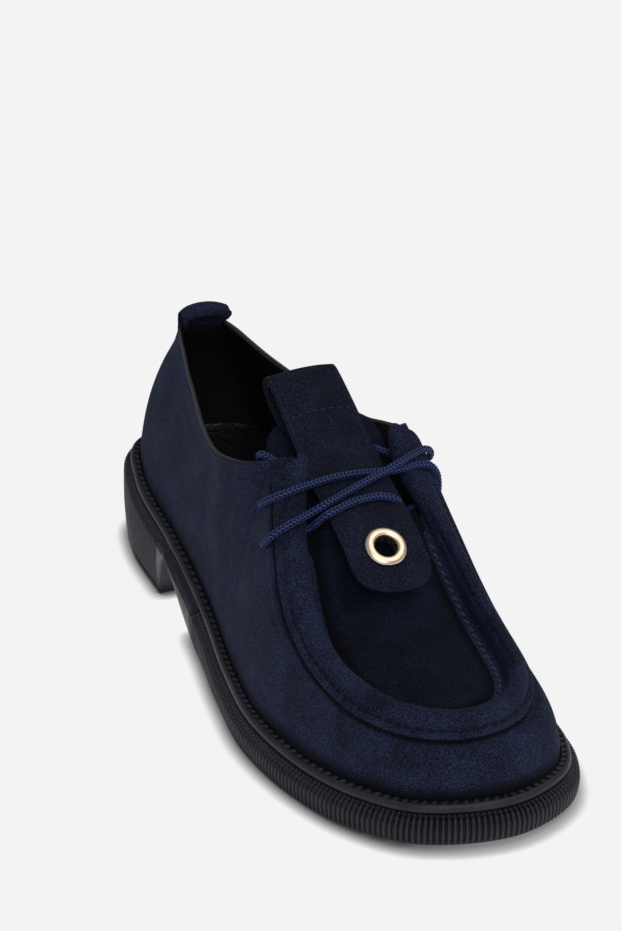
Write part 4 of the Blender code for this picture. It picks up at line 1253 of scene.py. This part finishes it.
# From the lip inwards: inset, rise, and share of the drop to the sewn crease, then the inset
# and rise of the same point where the band wraps the free edge of a facing instead
bandInner = (
    (0.8, 1.0, 0.0, 0.8, 1.25),
    (1.45, 0.1, 0.0, 1.4, 0.6),
    (1.85, -0.3, -0.25, 1.75, -0.2),
    (2.05, -0.1, -0.6, 1.85, -1.0),
    (2.25, 0.35, -0.92, 1.85, -1.7),
    (2.7, 0.72, -1.0, 1.75, -2.3),
    (3.4, 0.92, -1.0, 1.55, -2.7),
    (4.1, 0.92, -1.0, 1.3, -2.95),
    (4.5, 0.82, -1.0, 1.1, -3.05),
    (4.9, 0.98, -1.0, 0.9, -3.1),
    (5.7, 1.05, -1.0, 0.7, -3.1),
    (6.15, 0.95, -1.0, 0.5, -3.05),
    (6.3, 0.55, -1.0, 0.35, -2.9),
    (6.2, -0.05, -1.0, 0.25, -2.7),
    (4.0, -0.5, -1.0, 0.2, -2.2),
    (1.6, -0.4, -0.9, 0.15, -1.5),
    (1.0, -0.6, -0.3, 0.1, -0.8),
    (0.4, -0.3, 0.0, 0.05, -0.2),
)


def eased(values, start, run):
    # 0 before the start and 1 past the run, with a soft beginning and end
    share = np.clip((values - start) / run, 0.0, 1.0)
    return share * share * (3 - 2 * share)


def makeBand():
    rim = controlRings[-1]
    first = int(np.argmin(abs(upperStations - band["start"])))
    order = np.arange(first, 2 * sideColumns - first + 1)
    run, inward = (vectors[order] for vectors in lipFrame(rim))
    rim = rim[order]
    stations = allStations[order]
    levels = np.concatenate([column(bandOuter, "level")[:4], np.linspace(0.1, 1.0, band["outerRows"])])
    reach = ringKnots[-1] - bandFirst
    face = settledFace(bandFirst + reach * levels)[:, order]
    # The normals come from evenly spaced rows
    coarse = np.linspace(-0.15, 1.0, band["normalRows"])
    normals = gridNormals(settledFace(bandFirst + reach * coarse))
    at = np.interp(levels, coarse, np.arange(len(coarse)))
    low = np.clip(np.floor(at).astype(int), 0, len(coarse) - 2)
    share = (at - low)[:, None, None]
    square = (normals[low] * (1 - share) + normals[low + 1] * share)[:, order]
    grooved = eased(stations, band["grooveStart"], band["grooveRun"])
    rolled = readTable(bandOuter, "height", levels)[:, None]
    plain = readTable(bandOuter, "facing", levels)[:, None]
    outer = face + square * (rolled * grooved + plain * (1 - grooved))[:, :, None]
    # Beside the apron the lip drops straight down; on a facing it wraps round the free edge
    folded = eased(stations, band["foldStart"], band["foldRun"])[:, None]
    onward = face[-1] - face[-4]
    onward = unit(onward - run * (onward * run).sum(axis=1)[:, None])
    toOpening = unit(onward * (1 - folded) + inward * folded)
    lift = unit(square[-1] * (1 - folded) + np.array([0.0, 0.0, 1.0]) * folded)
    drop = readRound(upperForm, "creaseDrop", stations)[:, None]
    keys = [outer[-4], outer[-1]]
    for inset, rise, dropShare, wrapInset, wrapRise in bandInner:
        away = flangeReach(order, inset) * folded + wrapInset * (1 - folded)
        height = (rise + dropShare * drop) * folded + wrapRise * (1 - folded)
        keys.append(rim + toOpening * away + lift * height)
    gaps = np.linalg.norm(np.diff(keys, axis=0), axis=2).mean(axis=1)
    overlap = int(math.ceil(band["innerRows"] * gaps[0] / gaps.sum()))
    inner = refine(keys, band["innerRows"])[overlap:]
    under = (face + square * band["underRise"])[list(band["underRows"])]
    grid = np.concatenate([outer, inner, under])
    rows, columns = grid.shape[:2]
    faces = gridQuads(rows, columns, wrapRows=True)
    faces += [[r * columns + c for r in range(rows)] for c in (0, columns - 1)]
    roll = makePiece("rolledBand", grid, faces, [quarterSuede, darkEdge], None, 60.0)
    # The band's cut edge takes the near-black edge suede: a painted shadow line along it
    for polygon in roll.data.polygons[:2 * (columns - 1)]:
        polygon.material_index = 1
    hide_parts("apron_band")
    row = int(np.argmin(abs(levels - band["stitchLevel"])))
    beside = stations > band["stitchFrom"]
    lineStitches("bandStitches", outer[row][beside], square[row][beside], bandThread, band["stitch"])
    # The flange's stitches show only on the medial side, where the lip leaves them clear
    sewn = (folded[:, 0] > 0.9) & (order > sideColumns + 3)
    line = rim + toOpening * flangeReach(order, band["flangeStitchInset"])
    line += lift * (band["flangeStitchRise"] - drop)
    lineStitches("flangeStitches", line[sewn], lift[sewn], tuftThread, band["flangeStitch"])


makeApron()
makeBand()
print("apron and band made")


# Tongue

tongue = {
    "thick": 2.0,
    "edgeRadius": 0.4,
    "waveSize": 14.0,
    "waveHeight": 0.5,
    "rows": 70,
    "columns": 31,
}
tongueLine = (
    ("station", "height", "half", "crown"),
    (188.0, 52.1, 11.0, 5.0),
    (180.0, 58.3, 13.0, 5.0),
    (173.0, 63.8, 14.5, 5.0),
    (167.0, 68.6, 16.0, 5.0),
    (161.0, 73.4, 18.0, 5.0),
    (154.0, 78.6, 20.0, 4.2),
    (146.0, 83.8, 21.4, 2.8),
    (140.0, 87.3, 22.0, 1.6),
    (134.5, 90.2, 21.4, 0.8),
    (130.5, 91.9, 19.0, 0.4),
    (127.5, 93.1, 15.5, 0.3),
)


def makeTongue():
    shares = np.linspace(-1, 1, tongue["columns"])
    grid = np.array([
        np.column_stack([half * shares, np.full(len(shares), station), height - crown * shares ** 2])
        for station, height, half, crown in refine(tongueLine[1:], tongue["rows"])])
    piece = makePiece(
        "suedeTongue", grid, gridQuads(*grid.shape[:2]), [apronSuede, darkEdge], underShoe)
    addWaves(piece, "tongueWaves", tongue["waveSize"], tongue["waveHeight"])
    thicken(piece, tongue["thick"], tongue["edgeRadius"])
    settle(piece)
    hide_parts("tongue")


# Strap, folded over at its top, with its eyelet ring

strap = {
    "half": 14.5,
    "crown": 1.2,
    "columns": 33,
    "ripple": 0.25,
    "rippleLength": 9.0,
    "tipHalf": 1.2,
    "foldHalf": 13.4,
    "narrowFrom": 60.0,
    "narrowRun": 45.0,
    "foldTilt": 2.6,
    "tiltFrom": 85.0,
    "tiltRun": 35.0,
    "outerThick": 1.25,
    "backThick": 0.9,
    "backGap": 0.03,
    "backNarrower": 0.35,
    "edgeRadius": 0.28,
    "endRadius": 13.5,
    "endPower": 2.4,
    "endSkew": -1.2,
    "endSkewRun": 24.0,
    "seamStation": 134.0,
    "seamBow": 1.2,
    "stitchTop": 115.5,
    "stitchEnd": 112.0,
    "rowsUnderSeam": 22,
    "foldedFrom": 110.0,
    "stitch": {"pitch": 3.0, "length": 2.1, "thread": 0.45, "lift": -0.16, "slot": "strap_suede"},
    "stitchInset": 1.7,
}
strapLine = (
    ("station", "height"),
    (200.2, 58.6),
    (198.8, 59.9),
    (196.2, 62.1),
    (192.0, 65.6),
    (187.0, 69.4),
    (181.0, 73.2),
    (174.0, 76.8),
    (166.0, 80.2),
    (158.0, 83.8),
    (150.0, 88.0),
    (142.0, 92.8),
    (134.0, 98.2),
    (126.0, 103.4),
    (120.5, 106.7),
    (117.0, 108.2),
    (114.6, 108.1),
    (113.1, 106.2),
    (113.5, 103.2),
    (116.0, 100.4),
    (121.0, 98.0),
    (127.5, 95.2),
    (134.0, 92.4),
)
eyelet = {
    "sides": 112,
    "station": 187.0,
    "sunk": 0.2,
    "rows": 64,
    "holeRadius": 5.15,
    "holeSides": 48,
    "drill": 14.0,
}
# The ring turned about its own axis, as radius and height: a broad domed face, rolled into
# its barrel
ringSection = (
    (4.15, -3.6), (4.13, -1.5), (4.15, 0.3), (4.22, 0.85), (4.45, 1.22), (4.85, 1.42), (5.4, 1.52),
    (6.0, 1.48), (6.55, 1.33), (7.0, 1.08), (7.28, 0.82), (7.4, 0.62), (7.3, 0.5), (6.8, 0.48), (4.95, 0.5),
    (4.9, 0.3), (4.9, -2.8), (6.4, -2.95), (6.4, -3.6),
)


def strapPath():
    # The strap's outer face as (station, height) by length from its round end, in fine steps
    line = refine(strapLine[1:], 400)
    length = lengthOf(line)
    turns = np.linspace(0, math.pi / 2, 26)[:-1]
    near = strap["endRadius"] * (1 - np.cos(turns))
    at = np.concatenate([near, np.arange(strap["endRadius"], length[-1], 0.9), [length[-1]]])
    past = np.clip((strap["endRadius"] - at) / strap["endRadius"], 0.0, 1.0)
    half = strap["half"] * (1 - past ** strap["endPower"]) ** (1 / strap["endPower"])
    half[0] = strap["tipHalf"]
    narrowed = np.clip((at - strap["narrowFrom"]) / strap["narrowRun"], 0.0, 1.0)
    half -= (strap["half"] - strap["foldHalf"]) * narrowed
    return alongLine(line, length, at), half, at


def strapSheet(below, narrower):
    path, half, at = strapPath()
    run = unit(np.gradient(path, axis=0))
    # The outer face looks up and forward from the way the line runs
    out = np.stack([-run[:, 1], run[:, 0]], axis=1)
    out *= np.sign(out[len(out) // 3, 1])
    shares = np.linspace(-1, 1, strap["columns"])[None, :]
    across = np.maximum(half - narrower, 0.8)[:, None] * shares
    sag = strap["crown"] * (across / strap["half"]) ** 2
    ripple = strap["ripple"] * np.sin(at / strap["rippleLength"])[:, None] * shares ** 3
    # The fold sits lower on its lateral side
    tilted = np.clip((at - strap["tiltFrom"]) / strap["tiltRun"], 0.0, 1.0)[:, None]
    tilt = strap["foldTilt"] * tilted * (1 - shares) / 2
    # The round end is cut a little squarer and longer on its medial side
    skew = np.clip(1 - at / strap["endSkewRun"], 0.0, 1.0)[:, None] * across / strap["half"]
    skew *= strap["endSkew"]
    station = path[:, :1] - out[:, :1] * below - skew
    height = path[:, 1:] - out[:, 1:] * below - sag + ripple - tilt + 0.8 * skew
    return np.stack([across, station, height], axis=2), out, at


def ringFrame():
    station = column(strapLine, "station")
    height = column(strapLine, "height")
    spot = int(np.argmin(abs(station - eyelet["station"])))
    slope = math.atan2(height[spot + 1] - height[spot - 1], station[spot - 1] - station[spot + 1])
    centre = Vector(place((0.0, station[spot], height[spot] - eyelet["sunk"])))
    return Matrix.Translation(centre) @ Matrix.Rotation(slope, 4, "X")


def makeStrap():
    sheet, out, at = strapSheet(0.0, 0.0)
    inner = strapSheet(strap["outerThick"] + strap["backGap"], strap["backNarrower"])[0]
    faces = gridQuads(*sheet.shape[:2])
    layers = []
    for name, grid, thick in (("strapFace", sheet, "outerThick"), ("strapBack", inner, "backThick")):
        layer = makePiece(name, grid, faces, [strapSuede, darkEdge], underShoe)
        thicken(layer, strap[thick], strap["edgeRadius"])
        layers.append(layer)
    punch(layers, "ringHole", [ringFrame()], eyelet["holeRadius"], eyelet["drill"], eyelet["holeSides"])
    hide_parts("strap")
    # Thread: along both edges above the lacing, and across where the fold is sewn down
    normals = np.column_stack([np.zeros(len(out)), out])
    middleLine = sheet[:, strap["columns"] // 2]
    before = at < strap["foldedFrom"]
    seam = int(np.argmin(np.where(before, abs(sheet[:, 0, 1] - strap["seamStation"]), np.inf)))
    upright = np.arange(len(at)) > seam - strap["rowsUnderSeam"]
    upright &= (sheet[:, 0, 1] > strap["stitchTop"]) & (at < strap["stitchEnd"])
    for side, name in ((-1, "strapEdgeStitchesLateral"), (1, "strapEdgeStitchesMedial")):
        share = side * (1 - strap["stitchInset"] / strap["half"])
        line = middleLine - np.array([0.0, 0.0, strap["crown"] * share ** 2])
        line[:, 0] = share * strap["half"]
        lineStitches(name, line[upright], normals[upright], navyThread, strap["stitch"])
    across = sheet[seam, 2:-2].copy()
    bow = strap["seamBow"] * (1 - (across[:, 0] / strap["half"]) ** 2)
    across += np.outer(bow, (0.0, -out[seam, 1], out[seam, 0]))
    lineStitches("strapSeam", across, np.tile(normals[seam], (len(across), 1)), navyThread, strap["stitch"])


def makeRing():
    turn = np.linspace(0, 2 * math.pi, eyelet["sides"], endpoint=False)
    grid = np.array([
        np.column_stack([r * np.cos(turn), r * np.sin(turn), np.full(len(turn), h)])
        for r, h in refine(ringSection, eyelet["rows"])])
    faces = gridQuads(*grid.shape[:2], wrapColumns=True, wrapRows=True)
    mesh = bpy.data.meshes.new("eyeletRing")
    mesh.from_pydata((grid.reshape(-1, 3) * mm).tolist(), [], faces)
    mesh.transform(ringFrame())
    work = bmesh.new()
    work.from_mesh(mesh)
    bmesh.ops.recalc_face_normals(work, faces=work.faces)
    work.to_mesh(mesh)
    work.free()
    piece = addPiece("polishedEyeletRing", mesh, [goldPlate], 50.0)
    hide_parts("eyelet_ring")


makeTongue()
makeStrap()
makeRing()
print("tongue, strap and ring made")


# Pull loop and backstay

backstay = {
    "width": 20.0,
    "thick": 1.6,
    "clearance": 0.5,
    "footShare": 0.72,
    "footRaise": 0.3,
    "innerShare": 0.8,
    "edgeRadius": 0.4,
    "rows": 150,
    "columns": 23,
    "stitchColumn": 2,
    "stitchTop": 92.5,
    "tackHeight": 86.5,
    "stitch": {"pitch": 2.8, "length": 2.0, "thread": 0.45, "lift": -0.14, "slot": "upper_suede"},
}
loopArch = (
    ("straight", "station", "height", "fall"),
    (0.2, 15.2, 93.6, 0.3),
    (0.35, 16.6, 96.4, 1.0),
    (0.4, 18.4, 98.1, 1.5),
    (0.4, 20.6, 98.2, 1.6),
    (0.35, 22.4, 96.6, 1.2),
    (0.3, 22.4, 93.8, 0.6),
)


def backRow(level, share, offset):
    # Points across the back of one of the upper's rings, moved square to it
    points = controlRings[level]
    near = (abs(points[:, 0]) < 24.0) & (points[:, 1] < 60.0)
    line = (points + ringNormals[level] * offset)[near]
    line = line[np.argsort(line[:, 0])]
    across = backstay["width"] / 2 * share * np.linspace(-1, 1, backstay["columns"])
    return alongLine(line, line[:, 0], across)


def makePullLoop():
    footShare, clearance = backstay["footShare"], backstay["clearance"]
    foot, nextUp = (backRow(level, footShare, clearance) for level in (1, 2))
    rows = [foot + (nextUp - foot) * backstay["footRaise"]]
    steps = len(controlRings) - 3
    for step in range(steps + 1):
        rows.append(backRow(2 + step, footShare + (1 - footShare) * step / steps, clearance))
    top = rows[-1]
    for straight, station, height, fall in loopArch[1:]:
        row = top.copy()
        row[:, 1] = straight * station + (1 - straight) * (top[:, 1] + station - top[:, 1].min())
        row[:, 2] = height - fall * (row[:, 0] / (backstay["width"] / 2)) ** 2
        rows.append(row)
    for level in (-1, -2, -3):
        rows.append(backRow(level, backstay["innerShare"], -shoe["wall"] - clearance))
    sheet = refine(rows, backstay["rows"])
    square = gridNormals(sheet, closed=False)
    middleLine = backstay["columns"] // 2
    if square[20, middleLine, 1] > 0:
        square = -square
    faces = gridQuads(*sheet.shape[:2])
    insideLoop = (0.0, 19.0, 60.0)
    piece = makePiece("pullLoop", sheet, faces, [quarterSuede, darkEdge], insideLoop)
    thicken(piece, backstay["thick"], backstay["edgeRadius"])
    settle(piece)
    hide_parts("heel_loop")
    height = sheet[:, middleLine, 2]
    outer = height < backstay["stitchTop"]
    outer[int(np.argmax(height)):] = False
    near = backstay["stitchColumn"]
    far = backstay["columns"] - 1 - near
    for spot, name in ((near, "backstayStitchesLateral"), (far, "backstayStitchesMedial")):
        lineStitches(name, sheet[outer, spot], square[outer, spot], navyThread, backstay["stitch"])
    tack = int(np.argmin(abs(height[:backstay["rows"] // 2] - backstay["tackHeight"])))
    across = slice(near, far + 1)
    lineStitches("loopTack", sheet[tack, across], square[tack, across], navyThread, backstay["stitch"])


collar = {
    "from": 24.0,
    "below": 2.3,
    "stitch": {"pitch": 2.6, "length": 1.9, "thread": 0.42, "lift": -0.12, "slot": "upper_suede"},
}


def makeCollarStitches():
    face = settledFace(ringKnots[-1] - collar["below"] + np.array([-0.6, 0.0, 0.6]))
    square = gridNormals(face)[1]
    sewn = (allStations > collar["from"]) & (allStations < shoe["collarCorner"] + 1.0)
    lateral = np.arange(len(allStations)) < len(allStations) // 2
    for name, part in (("collarStitchesLateral", sewn & lateral), ("collarStitchesMedial", sewn & ~lateral)):
        lineStitches(name, face[1][part], square[part], navyThread, collar["stitch"])


makePullLoop()
makeCollarStitches()
print("pull loop and collar stitches made")


# Lace: one round braided cord through all four holes

lace = {
    "diameter": 2.8,
    "wales": 6,
    "perWale": 6,
    "pitch": 1.5,
    "perPitch": 8,
    "relief": 0.5,
}
upperStrand = (
    (-28.6, 152.6, 75.2), (-31.6, 152.8, 76.4), (-31.4, 154.6, 78.2), (-29.4, 158.4, 81.2),
    (-24.6, 160.6, 83.6), (-16.4, 160.2, 84.5), (-8.5, 159.9, 85.1), (0.0, 160.0, 85.1), (7.0, 160.7, 84.7),
    (13.5, 161.4, 84.2), (20.0, 161.0, 83.8), (26.0, 160.4, 83.8), (30.6, 160.0, 82.4), (33.6, 159.6, 78.8),
    (34.9, 158.8, 74.8), (35.4, 158.0, 70.5), (35.0, 157.8, 67.4), (32.0, 158.0, 66.0),
)
barRoute = (
    (28.0, 159.6, 66.2), (23.4, 161.4, 67.4), (18.4, 164.2, 67.0), (15.6, 167.4, 71.2), (13.4, 170.4, 76.0),
    (10.2, 171.7, 79.0), (6.5, 170.9, 80.1), (1.0, 170.5, 80.4), (-6.0, 171.1, 80.1), (-11.8, 172.3, 79.3),
    (-15.6, 172.2, 78.0), (-17.4, 169.8, 74.8), (-18.6, 166.4, 71.0), (-24.0, 164.6, 68.6),
    (-29.5, 163.2, 66.4),
)
lowerStrand = (
    (-33.4, 162.8, 65.2), (-35.4, 163.4, 66.2), (-35.4, 166.2, 69.6), (-34.0, 168.4, 72.6),
    (-28.4, 168.8, 75.3), (-22.2, 168.3, 77.0), (-16.5, 169.9, 80.3), (-8.5, 168.0, 81.9),
    (0.0, 166.0, 83.6), (8.5, 163.8, 84.9), (13.0, 162.9, 85.8), (18.0, 161.4, 86.7), (24.5, 158.6, 87.2),
    (30.0, 156.0, 87.0), (34.2, 153.4, 84.2), (35.0, 151.2, 80.6), (33.0, 149.4, 78.4), (28.4, 149.8, 77.8),
)
topBar = (
    (25.4, 151.2, 79.2), (24.2, 151.4, 81.2), (21.8, 150.2, 83.2), (17.6, 147.8, 85.4), (12.0, 145.2, 86.8),
    (6.0, 143.8, 87.4), (0.0, 143.3, 87.6), (-6.0, 143.8, 87.4), (-12.0, 145.0, 86.8), (-17.5, 146.0, 86.2),
    (-21.5, 145.0, 87.0), (-24.2, 142.4, 88.7), (-25.8, 139.6, 89.0), (-25.6, 137.4, 87.0),
    (-24.8, 137.8, 83.6), (-24.8, 143.0, 80.4), (-25.6, 149.4, 77.8),
)


def makeLace():
    route = np.array(upperStrand + barRoute + lowerStrand + topBar + upperStrand[:1])
    line = evenly(refine(route, 1600), lace["pitch"] / lace["perPitch"])[:-1]
    run = unit(np.roll(line, -1, axis=0) - np.roll(line, 1, axis=0))
    # A frame carried along the cord without twisting, its closing turn spread evenly
    side = np.zeros_like(line)
    side[0] = unit(np.cross(run[0], (0.0, 1.0, 0.3)))
    for i in range(1, len(line)):
        side[i] = unit(side[i - 1] - run[i] * (side[i - 1] @ run[i]))
    up = np.cross(side, run)
    twist = math.atan2(side[-1] @ up[0], side[-1] @ side[0])
    columns = lace["wales"] * lace["perWale"]
    turn = np.linspace(0, 2 * math.pi, columns, endpoint=False)
    steps = np.arange(len(line))
    angle = turn[None, :] - (twist * steps / len(line))[:, None]
    # Each wale leans the other way to its neighbours, so the cord shows a herringbone
    wale = np.arange(columns) // lace["perWale"]
    within = (np.arange(columns) % lace["perWale"] + 0.5) / lace["perWale"] - 0.5
    lean = np.where(wale % 2 == 0, 1.0, -1.0) * within
    rows = int(round(len(line) / lace["perPitch"]))
    phase = (steps[:, None] * rows / len(line) + lean[None, :]) % 1.0 - 0.5
    crown = np.sqrt(1 - (2 * phase) ** 2) * np.sqrt(1 - (2 * within[None, :]) ** 4)
    radius = (lace["diameter"] / 2 - lace["relief"] * (1 - crown))[:, :, None]
    cosine, sine = np.cos(angle)[:, :, None], np.sin(angle)[:, :, None]
    rings = line[:, None, :] + radius * (side[:, None, :] * cosine + up[:, None, :] * sine)
    faces = gridQuads(len(line), columns, wrapColumns=True, wrapRows=True)
    # The crowns go with the mesh as a mark, from which the yarn paints light on them and shade between them
    cord = makePiece(
        "braidedLace", rings, faces, [laceYarn], sharp=180.0, marks=("yarnShading", crown ** 2))
    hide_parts("lace_crossing", "lace_bar")


makeLace()
print("lace made")


# Sock inside the shoe

sock = {
    "inset": 9.0,
    "edge": ((0.0, 0.3), (0.0, 3.7), (0.5, 4.2), (1.2, 4.4)),
    "dish": 1.6,
    "dishRun": 12,
    "crinkleSize": 3.2,
    "crinkleHeight": 0.9,
    "sideCount": 110,
    "columns": 34,
}


def makeSock():
    # Rings up the sock's edge, its flat underside, then dished rows across the top
    stations = sideStations(sock["sideCount"])
    rings = [overSole(planRing(stations, sock["inset"] + extra), rise) for extra, rise in sock["edge"]]
    top = rings[-1]
    length = len(top)
    half = length // 2
    points = np.concatenate(rings).tolist()
    faces = gridQuads(len(rings), length, wrapColumns=True) + strips(length, 0)
    topFirst = length * (len(rings) - 1)
    shares = np.linspace(0, 1, sock["columns"])[1:-1]
    rows = []
    for i in range(1, half):
        line = top[i] + (top[-i] - top[i]) * shares[:, None]
        nearEnd = min(1.0, i / sock["dishRun"], (half - i) / sock["dishRun"])
        line[:, 2] -= sock["dish"] * np.sin(math.pi * shares) ** 0.6 * nearEnd
        first = len(points)
        points += line.tolist()
        rows.append([topFirst + i] + list(range(first, len(points))) + [topFirst + length - i])
    for near, far in zip(rows[:-1], rows[1:]):
        faces += [[near[k], near[k + 1], far[k + 1], far[k]] for k in range(len(near) - 1)]
    for tip, row in ((topFirst, rows[0]), (topFirst + half, rows[-1])):
        faces += [[row[k], row[k + 1], tip] for k in range(len(row) - 1)]
    piece = makePiece("crinkledSock", points, faces, [insoleLeather], sharp=60.0)
    addWaves(piece, "sockCrinkle", sock["crinkleSize"], sock["crinkleHeight"])
    settle(piece, 60.0)
    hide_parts("insole")


makeSock()
print("sock made")


# Floor, light and camera

studio = {
    "floor": "#202020",
    "floorHalf": 4.0,
    "floorShift": 1.5,
    "floorGlow": 0.885,
    "shadowReach": 5.5,
    "shadowPower": 2.2,
    "room": 0.33,
    "lens": 85.3,
    "eye": (-0.2981, -0.6468, 0.4298),
    "look": (0.3732, 0.8158, -0.4418),
}
# Name, place, target, size, watts and colour
softboxes = (
    ("keySoftbox", (-0.35, -1.35, 1.2), (0.0, -0.08, 0.03), 1.1, 9.5, "#FFFFFF"),
    ("topSoftbox", (0.5, -0.27, 1.25), (0.0, -0.05, 0.05), 1.2, 4.6, "#FFFDF8"),
)


def facing(direction):
    return Vector(direction).to_track_quat("-Z", "Y").to_euler()


def makeStudio():
    work = bmesh.new()
    bmesh.ops.create_grid(work, x_segments=1, y_segments=1, size=studio["floorHalf"])
    floor = addObject("paleFloor", meshOf(work, "paleFloor"))
    floor.location = (0.0, studio["floorShift"], 0.0)
    material, tree, sockets = newMaterial("glowingPaleSweep", studio["floor"], {
        "Roughness": 0.9, "Specular IOR Level": 0.1, "Emission Color": linear("#FFFFFF")})[:3]
    # The floor glows evenly, and an ambient occlusion node dims its glow close to the shoe: a painted contact
    # shadow, not one cast by the softboxes
    near = addNode(tree, "ShaderNodeAmbientOcclusion", {"samples": 12}, {
        "Color": linear("#FFFFFF"), "Distance": studio["shadowReach"] * mm})
    shade = addNode(tree, "ShaderNodeMath", {"operation": "POWER"}, {1: studio["shadowPower"]}, {
        0: near.outputs["AO"]})
    addNode(tree, "ShaderNodeMath", {"operation": "MULTIPLY"}, {1: studio["floorGlow"]}, {
        0: shade.outputs["Value"]}, feeds={"Value": sockets["Emission Strength"]})
    floor.data.materials.append(material)
    world = bpy.data.worlds.new("softRoom")
    world.use_nodes = True
    background = world.node_tree.nodes["Background"].inputs
    background["Color"].default_value = linear("#F2F4FA")
    background["Strength"].default_value = studio["room"]
    bpy.context.scene.world = world
    for name, spot, target, size, watts, colour in softboxes:
        light = bpy.data.lights.new(name, "AREA")
        light.shape = "SQUARE"
        light.size = size
        light.energy = watts
        light.color = linear(colour)[:3]
        lamp = addObject(name, light)
        lamp.location = spot
        lamp.rotation_euler = facing(Vector(target) - Vector(spot))
    camera = bpy.data.cameras.new("camera")
    camera.lens = studio["lens"]
    camera.clip_start = 0.01
    holder = addObject("camera", camera)
    holder.location = studio["eye"]
    holder.rotation_euler = facing(studio["look"])
    bpy.context.scene.camera = holder
    bpy.context.scene.view_settings.view_transform = "Standard"


makeStudio()
print("studio made")
